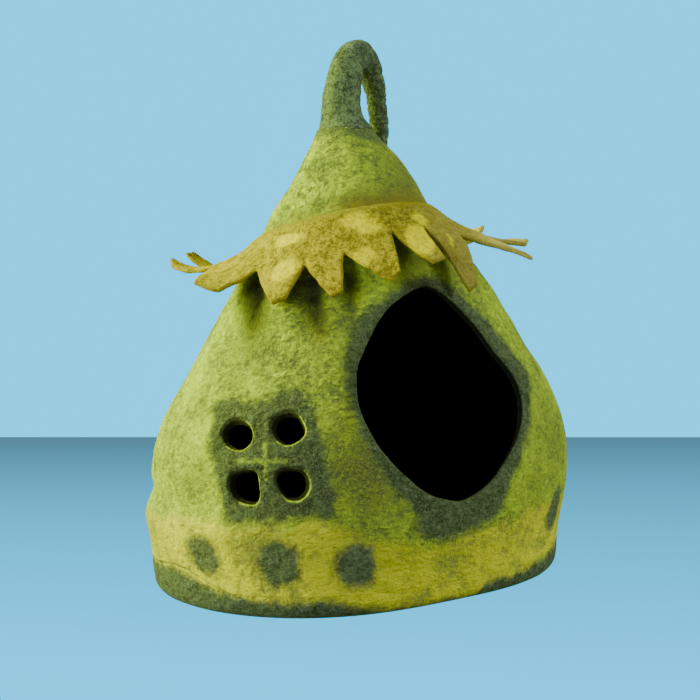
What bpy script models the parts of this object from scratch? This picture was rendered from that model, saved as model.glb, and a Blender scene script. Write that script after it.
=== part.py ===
"""Felt cat cave: a hollow bell of thick felt with an entrance and a four-hole window,
a leaf collar round its neck and a stalk bent into a loop on top.

Units are metres and +Z is up. The origin is the middle of the flat underside and -Y is
the front. Azimuths are in degrees from the front, positive towards +X.
"""

import math
from collections import namedtuple

import bpy
import bmesh
from mathutils import Vector

# ---------------------------------------------------------------- driving dimensions

WALL = 0.009                # felt thickness of the shell
FLOOR = 0.009               # felt thickness of the floor
TOP_HEIGHT = 0.462          # where the cone ends and the stalk begins
CAVITY_TOP = 0.432          # the cone is solid felt above this
CAVITY_DOME = 0.006         # how much higher the middle of the hollow's top is
FLOOR_CORNER = 0.010        # inner radius where the wall meets the floor
SEGMENTS = 60               # faces round the shell
PIECE_GAP = 0.0003          # between pieces that touch
MERGE = 0.00001

COLLAR_THICKNESS = 0.004
COLLAR_EDGE_SHARE = 0.4     # thickness left at the felted-on upper edge
COLLAR_GAP = 0.0005         # between the collar's root band and the cone

RIM_ROUNDING = 0.004        # radius of the rounded rim of a cut hole
RIM_DEPTHS = (-0.0005, 0.0012, RIM_ROUNDING)    # cutter rings, down from each wall face
CUTTER_REACH = 0.030        # how far a cutter stands out of the wall on both sides
CUTTER_TIP = 0.090          # how far from the wall a cutter comes to its point

SMALL_ANGLE = 0.5           # degrees, for the slope of the wall round and up it
SMALL_RISE = 0.001

# The wall from the floor up: the radius is about a centre line that leans towards +X.
Section = namedtuple("Section", "height radius lean")
WALL_SECTIONS = (
    Section(0.000, 0.1990, -0.0034),
    Section(0.003, 0.2055, -0.0030),
    Section(0.009, 0.2100, -0.0024),
    Section(0.020, 0.2120, -0.0020),
    Section(0.040, 0.2132, -0.0016),
    Section(0.057, 0.2158, -0.0010),
    Section(0.077, 0.2185, 0.0010),
    Section(0.098, 0.2177, 0.0051),
    Section(0.123, 0.2170, 0.0066),
    Section(0.150, 0.2133, 0.0080),
    Section(0.176, 0.2040, 0.0098),
    Section(0.205, 0.1880, 0.0121),
    Section(0.235, 0.1702, 0.0122),
    Section(0.265, 0.1530, 0.0125),
    Section(0.297, 0.1340, 0.0130),
    Section(0.330, 0.1128, 0.0116),
    Section(0.360, 0.0935, 0.0093),
    Section(0.381, 0.0803, 0.0073),
    Section(0.406, 0.0645, 0.0098),
    Section(0.430, 0.0496, 0.0093),
    Section(0.447, 0.0374, 0.0064),
    Section(TOP_HEIGHT, 0.0277, 0.0037),
)

# The wall is pressed flatter at the front right: the share of the radius taken off.
Flattening = namedtuple("Flattening", "height share")
FLAT_AZIMUTH = 33.0
FLAT_SPREAD = 37.0
FLAT_SHARES = (
    Flattening(0.000, 0.150),
    Flattening(0.060, 0.130),
    Flattening(0.200, 0.110),
    Flattening(0.330, 0.040),
    Flattening(0.380, 0.000),
    Flattening(TOP_HEIGHT, 0.000),
)

# Soft folds and lumps of the wall, each a smooth bump of its own width.
Fold = namedtuple("Fold", "azimuth height depth width tall")
WALL_FOLDS = (
    Fold(-50.0, 0.290, -0.0055, 10.0, 0.040),
    Fold(-34.0, 0.285, 0.0030, 9.0, 0.040),
    Fold(-20.0, 0.290, -0.0055, 7.0, 0.036),
    Fold(-12.0, 0.285, 0.0030, 6.0, 0.040),
    Fold(-5.0, 0.300, -0.0040, 5.0, 0.034),
    Fold(60.0, 0.290, -0.0030, 12.0, 0.040),
    Fold(110.0, 0.290, 0.0030, 14.0, 0.045),
    Fold(150.0, 0.285, -0.0035, 12.0, 0.045),
    Fold(-110.0, 0.290, -0.0035, 13.0, 0.045),
    Fold(-150.0, 0.285, 0.0030, 13.0, 0.045),
    Fold(-80.0, 0.084, 0.0015, 45.0, 0.014),
    Fold(-80.0, 0.105, -0.0030, 40.0, 0.009),
)

# Outline of the entrance, clockwise seen from outside.
OutlinePoint = namedtuple("OutlinePoint", "azimuth height")
ENTRANCE_STEPS = 3          # cutter points between two outline points
ENTRANCE_OUTLINE = (
    OutlinePoint(30.5, 0.298),
    OutlinePoint(41.0, 0.279),
    OutlinePoint(48.7, 0.255),
    OutlinePoint(53.5, 0.231),
    OutlinePoint(59.0, 0.205),
    OutlinePoint(57.3, 0.184),
    OutlinePoint(53.5, 0.162),
    OutlinePoint(48.3, 0.138),
    OutlinePoint(42.6, 0.118),
    OutlinePoint(35.5, 0.103),
    OutlinePoint(27.7, 0.099),
    OutlinePoint(17.0, 0.113),
    OutlinePoint(6.0, 0.150),
    OutlinePoint(-0.2, 0.184),
    OutlinePoint(-2.3, 0.210),
    OutlinePoint(-0.9, 0.236),
    OutlinePoint(6.7, 0.270),
    OutlinePoint(16.0, 0.289),
)

# The four window holes.
WindowHole = namedtuple("WindowHole", "name azimuth height width tall")
WINDOW_POINTS = 16
WINDOW_SQUARENESS = 2.6     # exponent of the rounded outline, 2 is an ellipse
WINDOW_HOLES = (
    WindowHole("window_upper_left", -35.2, 0.1690, 0.028, 0.027),
    WindowHole("window_upper_right", -20.4, 0.1765, 0.029, 0.028),
    WindowHole("window_lower_left", -30.4, 0.1225, 0.028, 0.029),
    WindowHole("window_lower_right", -17.3, 0.1265, 0.028, 0.027),
)

# The collar is sewn on along a tilted ring, whose height is its mean and two tilts.
COLLAR_HEIGHT = 0.3655
COLLAR_TILT_RIGHT = 0.0115
COLLAR_TILT_FRONT = 0.0115
COLLAR_ROOT_BAND = 0.008

# One row for each tooth, going round from the front left: its share of the ring in
# degrees, the length from the ring to its tip, the length to its right-hand notch, then
# how far below horizontal the felt points at that notch, at the tooth's middle and at its
# tip, the sideways shift of the tip in degrees, and the width of the blunt tip.
Tooth = namedtuple("Tooth", "width length notch notch_droop middle_droop tip_droop lean tip")
COLLAR_START = -80.0        # azimuth where the first tooth begins
COLLAR_TEETH = (
    Tooth(31.0, 0.098, 0.057, 47.0, 16.0, 28.0, 5.0, 0.018),
    Tooth(26.0, 0.101, 0.060, 54.0, 49.0, 49.0, 6.5, 0.009),
    Tooth(18.0, 0.100, 0.055, 52.0, 52.0, 50.0, 7.0, 0.010),
    Tooth(25.0, 0.094, 0.039, 45.0, 44.0, 44.0, 8.0, 0.009),
    Tooth(19.0, 0.093, 0.039, 39.0, 34.0, 34.0, 3.0, 0.012),
    Tooth(20.0, 0.118, 0.056, 32.0, 60.0, 60.0, -2.0, 0.006),
    Tooth(31.0, 0.115, 0.052, 22.0, 12.0, 38.0, 4.0, 0.006),
    Tooth(26.0, 0.111, 0.050, 22.0, 6.0, 6.0, 0.0, 0.007),
    Tooth(26.0, 0.109, 0.050, 26.0, -22.0, -32.0, 0.0, 0.009),
    Tooth(24.0, 0.100, 0.050, 36.0, 22.0, 10.0, 3.0, 0.008),
    Tooth(23.0, 0.104, 0.052, 40.0, 38.0, 30.0, -3.0, 0.007),
    Tooth(23.0, 0.098, 0.050, 38.0, 34.0, 36.0, 2.0, 0.009),
    Tooth(22.0, 0.102, 0.052, 30.0, 14.0, -6.0, -2.0, 0.007),
    Tooth(23.0, 0.110, 0.050, 16.0, -16.0, -44.0, 6.0, 0.006),
    Tooth(23.0, 0.112, 0.054, 20.0, -2.0, -36.0, 0.0, 0.010),
)
TOOTH_COLUMNS = (-1.0, -0.5, 0.0, 0.5, 1.0)
RING_ROWS = 4                # rows of faces between the root band and the notches
TOOTH_ROWS = 6
COLLAR_LIFT = 0.4           # below 1 the ring lifts off the cone sooner than evenly
TOOTH_TAPER = 0.9           # 1 is a straight-sided tooth

# The stalk rises from the cone, bends over and comes down behind on the cone's shoulder.
StalkPoint = namedtuple("StalkPoint", "x y z radius")
STALK_ROUTE = (
    StalkPoint(0.0037, 0.000, 0.4580, 0.0285),
    StalkPoint(0.0022, 0.000, 0.4720, 0.0226),
    StalkPoint(0.0021, -0.001, 0.4890, 0.0200),
    StalkPoint(0.0050, -0.001, 0.5060, 0.0188),
    StalkPoint(0.0085, 0.002, 0.5220, 0.0178),
    StalkPoint(0.0145, 0.010, 0.5350, 0.0168),
    StalkPoint(0.0225, 0.022, 0.5395, 0.0160),
    StalkPoint(0.0310, 0.034, 0.5320, 0.0142),
    StalkPoint(0.0370, 0.043, 0.5140, 0.0120),
    StalkPoint(0.0400, 0.047, 0.4920, 0.0107),
    StalkPoint(0.0415, 0.048, 0.4680, 0.0104),
    StalkPoint(0.0392, 0.045, 0.4500, 0.0104),
    StalkPoint(0.0330, 0.038, 0.4350, 0.0104),
    StalkPoint(0.0270, 0.029, 0.4220, 0.0100),
)
STALK_STEPS = 3             # tube rings between two route points
STALK_BEVEL_RESOLUTION = 4

Finish = namedtuple("Finish", "name colour roughness")
BODY_FELT = Finish("body_felt", (0.36, 0.42, 0.06), 0.95)
COLLAR_FELT = Finish("collar_felt", (0.38, 0.30, 0.04), 0.95)
STALK_FELT = Finish("stalk_felt", (0.09, 0.15, 0.07), 0.95)


# ------------------------------------------------------------------------- table maths

def column_at(rows, column, place):
    """Value of a table's column at a place along its first column, on a smooth curve."""
    places = [row[0] for row in rows]
    values = [getattr(row, column) for row in rows]
    if place <= places[0]:
        return values[0]
    if place >= places[-1]:
        return values[-1]
    span = max(index for index in range(len(places) - 1) if places[index] <= place)

    def slope(index):
        before = max(index - 1, 0)
        after = min(index + 1, len(places) - 1)
        return (values[after] - values[before]) / (places[after] - places[before])

    step = places[span + 1] - places[span]
    share = (place - places[span]) / step
    rise = values[span + 1] - values[span]
    leave = slope(span) * step
    arrive = slope(span + 1) * step
    return (values[span] + share * leave + share ** 2 * (3 * rise - 2 * leave - arrive)
            + share ** 3 * (leave + arrive - 2 * rise))


def smooth_route(points, steps, closed=False):
    """Points on a Catmull-Rom curve through the given ones, with so many steps a span."""
    count = len(points)
    spans = count if closed else count - 1
    route = []
    for span in range(spans):
        if closed:
            corners = [points[(span + shift) % count] for shift in (-1, 0, 1, 2)]
        else:
            corners = [points[min(max(span + shift, 0), count - 1)]
                       for shift in (-1, 0, 1, 2)]
        for step in range(steps):
            route.append(catmull_rom(corners, step / steps))
    if not closed:
        route.append(tuple(points[-1]))
    return route


def catmull_rom(corners, share):
    """A point between the second and third of four corners, in any number of values."""
    return tuple(
        0.5 * (2 * near + (far - before) * share
               + (2 * before - 5 * near + 4 * far - after) * share ** 2
               + (3 * near - before - 3 * far + after) * share ** 3)
        for before, near, far, after in zip(*corners))


def angle_between(azimuth, other):
    """Signed difference of two azimuths in degrees, within half a turn."""
    return (azimuth - other + 180.0) % 360.0 - 180.0


# -------------------------------------------------------------------------- wall shape

def felt_point(azimuth, height, radius):
    """Where a point of the turned form lies on the real wall, which leans and is lumpy."""
    off_flat = angle_between(azimuth, FLAT_AZIMUTH) / FLAT_SPREAD
    share = column_at(FLAT_SHARES, "share", height) * math.exp(-off_flat ** 2)
    bulge = 0.0
    for fold in WALL_FOLDS:
        aside = angle_between(azimuth, fold.azimuth) / fold.width
        above = (height - fold.height) / fold.tall
        bulge += fold.depth * math.exp(-aside ** 2 - above ** 2)
    wall_radius = column_at(WALL_SECTIONS, "radius", height)
    reach = radius * (1.0 - share + bulge / wall_radius)
    lean = column_at(WALL_SECTIONS, "lean", height)
    turn = math.radians(azimuth)
    return Vector((lean + reach * math.sin(turn), -reach * math.cos(turn), height))


def wall_point(azimuth, height):
    """A point of the wall's outer face."""
    return felt_point(azimuth, height, column_at(WALL_SECTIONS, "radius", height))


def wall_normal(azimuth, height):
    """The wall's outward direction."""
    across = wall_point(azimuth + SMALL_ANGLE, height) - wall_point(azimuth - SMALL_ANGLE, height)
    upward = wall_point(azimuth, height + SMALL_RISE) - wall_point(azimuth, height - SMALL_RISE)
    return across.cross(upward).normalized()


# ------------------------------------------------------------------------ mesh helpers

def new_collection(name):
    collection = bpy.data.collections.new(name)
    bpy.context.scene.collection.children.link(collection)
    return collection


def clear_scene():
    for scene_object in list(bpy.data.objects):
        bpy.data.objects.remove(scene_object)


def new_object(name, bm, collection, closed=True):
    """An object from a finished bmesh, shaded smooth; a closed one has its faces turned out."""
    bmesh.ops.remove_doubles(bm, verts=bm.verts, dist=MERGE)
    if closed:
        bmesh.ops.recalc_face_normals(bm, faces=bm.faces)
    mesh = bpy.data.meshes.new(name)
    bm.to_mesh(mesh)
    bm.free()
    mesh.shade_smooth()
    made = bpy.data.objects.new(name, mesh)
    collection.objects.link(made)
    return made


def hide_cutter(cutter):
    cutter.hide_render = True
    cutter.display_type = "WIRE"


def cut_with(target, cutter):
    cut = target.modifiers.new(cutter.name, "BOOLEAN")
    cut.operation = "DIFFERENCE"
    cut.solver = "EXACT"
    cut.object = cutter


def finish_with(target, finish):
    material = bpy.data.materials.new(finish.name)
    material.use_nodes = True
    shader = material.node_tree.nodes["Principled BSDF"]
    shader.inputs["Base Color"].default_value = (*finish.colour, 1.0)
    shader.inputs["Roughness"].default_value = finish.roughness
    shader.inputs["Metallic"].default_value = 0.0
    target.data.materials.append(material)


def turned_form(name, profile, collection):
    """A closed felt form: (radius, height) points from axis to axis are spun, then shaped."""
    bm = bmesh.new()
    points = [bm.verts.new((0.0, -radius, height)) for radius, height in profile]
    edges = [bm.edges.new(pair) for pair in zip(points, points[1:])]
    bmesh.ops.spin(bm, geom=points + edges, cent=(0, 0, 0), axis=(0, 0, 1),
                   angle=math.tau, steps=SEGMENTS, use_merge=True)
    for vert in bm.verts:
        azimuth = math.degrees(math.atan2(vert.co.x, -vert.co.y))
        vert.co = felt_point(azimuth, vert.co.z, math.hypot(vert.co.x, vert.co.y))
    return new_object(name, bm, collection)


def loft(name, rings, end_points, collection):
    """A closed form through rings of equal point counts, fanned to a point at each end."""
    bm = bmesh.new()
    loops = [[bm.verts.new(point) for point in ring] for ring in rings]
    count = len(loops[0])
    for lower, upper in zip(loops, loops[1:]):
        for here in range(count):
            after = (here + 1) % count
            bm.faces.new((lower[here], lower[after], upper[after], upper[here]))
    for loop, end_point in zip((loops[0], loops[-1]), end_points):
        tip = bm.verts.new(end_point)
        for here in range(count):
            bm.faces.new((loop[here], loop[(here + 1) % count], tip))
    return new_object(name, bm, collection)


# -------------------------------------------------------------------------- cave shell

def outer_profile(grow=0.0):
    """Profile of the shell's outer face, or of one that lies a little outside it."""
    wall = [(section.radius + grow, section.height) for section in WALL_SECTIONS]
    wall[-1] = (wall[-1][0], TOP_HEIGHT + grow)
    return [(0.0, 0.0)] + wall + [(0.0, TOP_HEIGHT + grow)]


def cavity_profile():
    """Profile of the hollow, one wall thickness inside the outer face."""
    heights = [section.height for section in WALL_SECTIONS
               if FLOOR + FLOOR_CORNER < section.height < CAVITY_TOP]
    rows = []
    for height in heights + [CAVITY_TOP]:
        slope = (column_at(WALL_SECTIONS, "radius", height + SMALL_RISE)
                 - column_at(WALL_SECTIONS, "radius", height - SMALL_RISE)) / (2 * SMALL_RISE)
        thickness = WALL * math.sqrt(1.0 + slope ** 2)
        rows.append((column_at(WALL_SECTIONS, "radius", height) - thickness, height))
    foot = rows[0][0]
    halfway = FLOOR_CORNER * (1.0 - math.sqrt(0.5))
    corner = [(foot - FLOOR_CORNER, FLOOR), (foot - halfway, FLOOR + halfway)]
    return [(0.0, FLOOR)] + corner + rows + [(0.0, CAVITY_TOP + CAVITY_DOME)]


def rim_growth(depth):
    """How much wider than its outline a hole is at a depth below the wall's outer face."""
    inside = min(depth, WALL - depth)
    if inside <= 0.0:
        return RIM_ROUNDING
    if inside >= RIM_ROUNDING:
        return 0.0
    return RIM_ROUNDING - math.sqrt(RIM_ROUNDING ** 2 - (RIM_ROUNDING - inside) ** 2)


def hole_cutter(name, outline, collection):
    """A plug that cuts a hole straight through the wall and rounds both of its rims.

    The outline's (azimuth, height) points run clockwise seen from outside.
    """
    near_side = [-CUTTER_REACH, *RIM_DEPTHS]
    far_side = [WALL - depth for depth in reversed(near_side)]
    points = [wall_point(azimuth, height) for azimuth, height in outline]
    normals = [wall_normal(azimuth, height) for azimuth, height in outline]
    rings = []
    for depth in near_side + far_side:
        ring = []
        for here, (point, normal) in enumerate(zip(points, normals)):
            along = points[(here + 1) % len(points)] - points[here - 1]
            outwards = normal.cross(along).normalized()
            ring.append(point + rim_growth(depth) * outwards - depth * normal)
        rings.append(ring)
    middle = sum(points, Vector()) / len(points)
    through = CUTTER_TIP * sum(normals, Vector()).normalized()
    cutter = loft(name, rings, (middle + through, middle - through), collection)
    hide_cutter(cutter)
    return cutter


def window_outline(hole):
    """Rounded outline of one window hole, clockwise from outside."""
    radius = column_at(WALL_SECTIONS, "radius", hole.height)
    outline = []
    for step in range(WINDOW_POINTS):
        turn = -math.tau * step / WINDOW_POINTS
        power = 2.0 / WINDOW_SQUARENESS
        across = 0.5 * hole.width * math.copysign(abs(math.cos(turn)) ** power, math.cos(turn))
        up = 0.5 * hole.tall * math.copysign(abs(math.sin(turn)) ** power, math.sin(turn))
        outline.append((hole.azimuth + math.degrees(across / radius), hole.height + up))
    return outline


def make_cave_body(parts, cutters):
    body = turned_form("cave_body", outer_profile(), parts)
    finish_with(body, BODY_FELT)
    cavity = turned_form("cavity", cavity_profile(), cutters)
    hide_cutter(cavity)
    cut_with(body, cavity)
    entrance_outline = smooth_route(ENTRANCE_OUTLINE, ENTRANCE_STEPS, closed=True)
    cut_with(body, hole_cutter("entrance", entrance_outline, cutters))
    for hole in WINDOW_HOLES:
        cut_with(body, hole_cutter(hole.name, window_outline(hole), cutters))


# ------------------------------------------------------------------------- leaf collar

def ring_height(azimuth):
    turn = math.radians(azimuth)
    return (COLLAR_HEIGHT + COLLAR_TILT_RIGHT * math.sin(turn)
            + COLLAR_TILT_FRONT * math.cos(turn))


def blend(first, second, share):
    return first + (second - first) * share


def band_point(azimuth, height):
    """A point of the collar's inner face where it lies on the cone."""
    return wall_point(azimuth, height) + COLLAR_GAP * wall_normal(azimuth, height)


def wall_droop(azimuth, height):
    """How steeply the wall falls outwards, in degrees below horizontal."""
    normal = wall_normal(azimuth, height)
    return math.degrees(math.atan2(math.hypot(normal.x, normal.y), normal.z))


def collar_point(azimuth, radius, height):
    """A point at a radius from the cone's centre line as it runs through the collar."""
    turn = math.radians(azimuth)
    return Vector((collar_centre() + radius * math.sin(turn), -radius * math.cos(turn), height))


def collar_centre():
    return column_at(WALL_SECTIONS, "lean", COLLAR_HEIGHT)


def column_line(tooth, middle_azimuth, left, column):
    """Points down one column of a tooth, from the felted-on edge to its free end."""
    across = 0.5 * (column + 1.0)
    notch = blend(left.notch, tooth.notch, across)
    notch_droop = blend(left.notch_droop, tooth.notch_droop, across)
    azimuth = middle_azimuth + 0.5 * column * tooth.width
    height = ring_height(azimuth)
    steepness = wall_droop(azimuth, height)
    foot = height - COLLAR_ROOT_BAND * math.sin(math.radians(steepness))
    line = [band_point(azimuth, height), band_point(azimuth, foot)]

    radius = math.hypot(line[-1].x - collar_centre(), line[-1].y)
    ring_step = (notch - COLLAR_ROOT_BAND) / RING_ROWS
    for row in range(RING_ROWS):
        lifted = ((row + 0.5) / RING_ROWS) ** COLLAR_LIFT
        droop = math.radians(blend(steepness, notch_droop, lifted))
        radius += ring_step * math.cos(droop)
        line.append(collar_point(azimuth, radius, line[-1].z - ring_step * math.sin(droop)))

    tooth_step = (tooth.length - notch) / TOOTH_ROWS
    for row in range(TOOTH_ROWS):
        share = 2.0 * (row + 0.5) / TOOTH_ROWS
        if share < 1.0:
            droop = math.radians(blend(notch_droop, tooth.middle_droop, share))
        else:
            droop = math.radians(blend(tooth.middle_droop, tooth.tip_droop, share - 1.0))
        radius += tooth_step * math.cos(droop)
        reached = (row + 1) / TOOTH_ROWS
        tip_share = tooth.tip / (math.radians(tooth.width) * radius)
        narrow = blend(1.0, tip_share, reached ** TOOTH_TAPER)
        turned = middle_azimuth + 0.5 * column * tooth.width * narrow + tooth.lean * reached
        line.append(collar_point(turned, radius, line[-1].z - tooth_step * math.sin(droop)))
    return line


def make_leaf_collar(parts):
    """A sheet of felt, thin where its upper edge is felted on and full from there down."""
    bm = bmesh.new()
    weights = bm.verts.layers.deform.verify()
    middle = COLLAR_START
    for number, tooth in enumerate(COLLAR_TEETH):
        left = COLLAR_TEETH[number - 1]
        middle += 0.5 * tooth.width
        columns = [[bm.verts.new(point) for point in column_line(tooth, middle, left, column)]
                   for column in TOOTH_COLUMNS]
        middle += 0.5 * tooth.width
        for line in columns:
            for row, vert in enumerate(line):
                vert[weights][0] = 0.0 if row == 0 else 1.0
        for near, far in zip(columns, columns[1:]):
            for row in range(len(near) - 1):
                bm.faces.new((near[row], near[row + 1], far[row + 1], far[row]))
    collar = new_object("leaf_collar", bm, parts, closed=False)
    finish_with(collar, COLLAR_FELT)
    solidify = collar.modifiers.new("felt_thickness", "SOLIDIFY")
    solidify.thickness = COLLAR_THICKNESS
    solidify.offset = 1.0
    solidify.vertex_group = collar.vertex_groups.new(name="full_thickness").name
    solidify.thickness_vertex_group = COLLAR_EDGE_SHARE


# -------------------------------------------------------------------------- stalk loop

def make_stalk_loop(parts, cutters):
    curve = bpy.data.curves.new("stalk_route", "CURVE")
    curve.dimensions = "3D"
    curve.bevel_depth = 1.0
    curve.bevel_resolution = STALK_BEVEL_RESOLUTION
    curve.use_fill_caps = True
    route = smooth_route(STALK_ROUTE, STALK_STEPS)
    spline = curve.splines.new("POLY")
    spline.points.add(len(route) - 1)
    for point, (x, y, z, radius) in zip(spline.points, route):
        point.co = (x, y, z, 1.0)
        point.radius = radius
    guide = bpy.data.objects.new("stalk_route", curve)
    cutters.objects.link(guide)
    view = bpy.context.evaluated_depsgraph_get()
    view.update()
    tube = bpy.data.meshes.new_from_object(guide.evaluated_get(view))
    bm = bmesh.new()
    bm.from_mesh(tube)
    stalk = new_object("stalk_loop", bm, parts)
    bpy.data.objects.remove(guide)
    finish_with(stalk, STALK_FELT)
    seat = turned_form("cone_seat", outer_profile(PIECE_GAP), cutters)
    hide_cutter(seat)
    cut_with(stalk, seat)


def main():
    clear_scene()
    parts = new_collection("felt_cat_cave")
    cutters = new_collection("cutters")
    make_cave_body(parts, cutters)
    make_leaf_collar(parts)
    make_stalk_loop(parts, cutters)


main()
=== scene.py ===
"""Looks of a felt cat cave: felted shell, leaf collar and stalk loop, on a plain stage.

Units are metres and +Z is up. The origin is the middle of the flat underside and -Y is
the front. Azimuths are in degrees from the front, positive towards +X.
"""

import math
from collections import namedtuple
from contextlib import contextmanager

import bmesh
import bpy
import numpy as np
from mathutils import Euler, Matrix, Vector, noise


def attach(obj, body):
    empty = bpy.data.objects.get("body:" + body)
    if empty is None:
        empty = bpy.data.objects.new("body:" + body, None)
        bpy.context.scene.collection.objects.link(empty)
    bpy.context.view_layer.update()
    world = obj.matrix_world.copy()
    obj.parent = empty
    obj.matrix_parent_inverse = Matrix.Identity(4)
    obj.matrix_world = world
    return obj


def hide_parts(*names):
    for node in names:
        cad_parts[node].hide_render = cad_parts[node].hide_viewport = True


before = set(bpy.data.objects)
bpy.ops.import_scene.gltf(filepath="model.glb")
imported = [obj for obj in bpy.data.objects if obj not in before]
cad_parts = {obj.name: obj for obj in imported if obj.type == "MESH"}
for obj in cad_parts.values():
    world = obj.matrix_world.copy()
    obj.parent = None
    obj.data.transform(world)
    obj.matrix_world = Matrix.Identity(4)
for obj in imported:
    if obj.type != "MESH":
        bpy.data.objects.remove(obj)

bl_info = {
    "name": "Felt cat cave",
    "version": (1, 0, 0),
    "blender": (4, 5, 0),
    "location": "View3D > Sidebar > Felt cave",
    "description": "Builds a felt cat cave with a leaf collar and a stalk loop",
    "category": "Add Mesh",
}


def table(kind, *rows):
    """The rows of a table, with a name for each column."""
    return tuple(kind(*row) for row in rows)


# ------------------------------------------------------------------- shape of the shell

WALL = 0.009                # felt thickness of the shell
FLOOR = 0.009
TOP_HEIGHT = 0.462          # where the cone ends and the stalk begins
CAVITY_TOP = 0.432
CAVITY_DOME = 0.006
FLOOR_CORNER = 0.010
RIM_ROUNDING = 0.004        # radius of the rounded rim of a cut hole
RIM_DEPTHS = (-0.0006, 0.0001, 0.0005, 0.0012, 0.0024, 0.0040)      # of its rows of points
CUTTER_REACH = 0.030        # how far a cutter stands out of the wall on both sides
CUTTER_TIP = 0.090          # how far from the wall it comes to its point
SMALL_ANGLE = 0.5           # degrees, for the slope of the wall round and up it
SMALL_RISE = 0.001

# Rows and columns of points in the shell's meshes.
SHELL_COLUMNS = 360
SHELL_STEP = 0.0033         # between rows of points up the wall
PROFILE_SAMPLES = 2000
UNDERSIDE_ROWS = 30
TOP_ROWS = 6
CAVITY_COLUMNS = 120
CAVITY_ROWS = 44
CORNER_ROWS = 6
FLOOR_ROWS = 12
DOME_ROWS = 5
ENTRANCE_STEPS = 20
WELD_DISTANCE = 0.0002
SMALLEST_EDGE = 0.00001
SMALLEST_LENGTH = 0.000001      # keeps a division from nought
SHELL_LUMPS = ((0.030, 1.0), (0.011, 0.4))      # size and share of the lump height
SHELL_LUMP_HEIGHTS = (0.002, 0.012, 0.432, 0.452)   # the lumps fade in, stay, and fade out

# The wall from the floor up: the radius is about a centre line that leans towards +X.
Section = namedtuple("Section", "height radius lean")
WALL_SECTIONS = table(Section,
    (0, 0.199, -0.0034), (0.003, 0.2055, -0.003), (0.009, 0.21, -0.0024), (0.02, 0.212, -0.002),
    (0.04, 0.2132, -0.0016), (0.057, 0.2158, -0.001), (0.077, 0.2185, 0.001),
    (0.098, 0.2177, 0.0051), (0.123, 0.217, 0.0066), (0.15, 0.2133, 0.008), (0.176, 0.204, 0.0098),
    (0.205, 0.188, 0.0121), (0.235, 0.1702, 0.0122), (0.265, 0.153, 0.0125), (0.297, 0.134, 0.013),
    (0.33, 0.1128, 0.0116), (0.36, 0.0935, 0.0093), (0.381, 0.0803, 0.0073),
    (0.406, 0.0645, 0.0098), (0.43, 0.0496, 0.0093), (0.447, 0.0374, 0.0064),
    (TOP_HEIGHT, 0.0277, 0.0037))

# The wall is pressed flatter at the front right: the share of the radius taken off.
Flattening = namedtuple("Flattening", "height share")
FLAT_AZIMUTH = 33.0
FLAT_SPREAD = 37.0
FLAT_SHARES = table(Flattening,
    (0, 0.15), (0.06, 0.13), (0.2, 0.11), (0.33, 0.04), (0.38, 0), (TOP_HEIGHT, 0))

# Soft folds and lumps of the wall, each a smooth bump of its own width.
Fold = namedtuple("Fold", "azimuth height depth width tall")
WALL_FOLDS = table(Fold,
    (-52, 0.296, -0.0075, 9, 0.034), (-34, 0.285, 0.003, 9, 0.04),
    (-20, 0.29, -0.0085, 6.5, 0.034), (-12, 0.285, 0.003, 6, 0.04),
    (-5, 0.298, -0.0055, 4.5, 0.032), (60, 0.29, -0.003, 12, 0.04), (110, 0.29, 0.003, 14, 0.045),
    (150, 0.285, -0.0035, 12, 0.045), (-110, 0.29, -0.0035, 13, 0.045),
    (-150, 0.285, 0.003, 13, 0.045), (-80, 0.084, 0.0015, 45, 0.014),
    (-80, 0.105, -0.003, 40, 0.009))

# Places on the wall are given as (azimuth, height), clockwise seen from outside.
ENTRANCE_OUTLINE = (
    (30.5, 0.299), (41.5, 0.2835), (49.8, 0.259), (53.8, 0.233), (57.9, 0.207), (57.1, 0.185),
    (53.5, 0.162), (48.3, 0.138), (42.6, 0.118), (35.5, 0.103), (27.7, 0.099), (17, 0.113),
    (6, 0.15), (-0.2, 0.184), (-2.3, 0.21), (-0.9, 0.236), (6.7, 0.27), (16, 0.289),
)
# Slant is how far the inner end of a hole is shifted sideways.
WindowHole = namedtuple("WindowHole", "name slant outline")
WINDOW_STEPS = 7
WINDOW_ROUNDING = 0.0026
WINDOW_FLARE = 0.0036       # how much narrower, each side, a window hole is at its inner end
WINDOW_HOLES = table(WindowHole,
    ("window_upper_left", 0, (
        (-40.4, 0.1745), (-38.6, 0.1825), (-34.8, 0.184), (-31.6, 0.1795), (-29.8, 0.171),
        (-30, 0.162), (-32.4, 0.1562), (-36, 0.1572), (-39.2, 0.164))),
    ("window_upper_right", 0, (
        (-25.2, 0.176), (-24.9, 0.1855), (-22.4, 0.1905), (-18.8, 0.19), (-16.6, 0.1825),
        (-15.3, 0.1735), (-16.6, 0.166), (-19.6, 0.1612), (-22.7, 0.1655))),
    ("window_lower_left", 0, (
        (-35.2, 0.1264), (-34.5, 0.1344), (-31.6, 0.1392), (-27.7, 0.1386), (-26.2, 0.125),
        (-26.1, 0.1125), (-27.6, 0.1068), (-30.4, 0.1072), (-33.2, 0.111), (-34.8, 0.118))),
    ("window_lower_right", -0.004, (
        (-21.9, 0.1345), (-20.3, 0.1404), (-17, 0.1415), (-14.3, 0.1382), (-13, 0.1285),
        (-13.4, 0.1185), (-15.5, 0.1115), (-18.4, 0.1114), (-20.3, 0.1172), (-21.7, 0.126))))

# -------------------------------------------------------------- dyed zones of the shell

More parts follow.
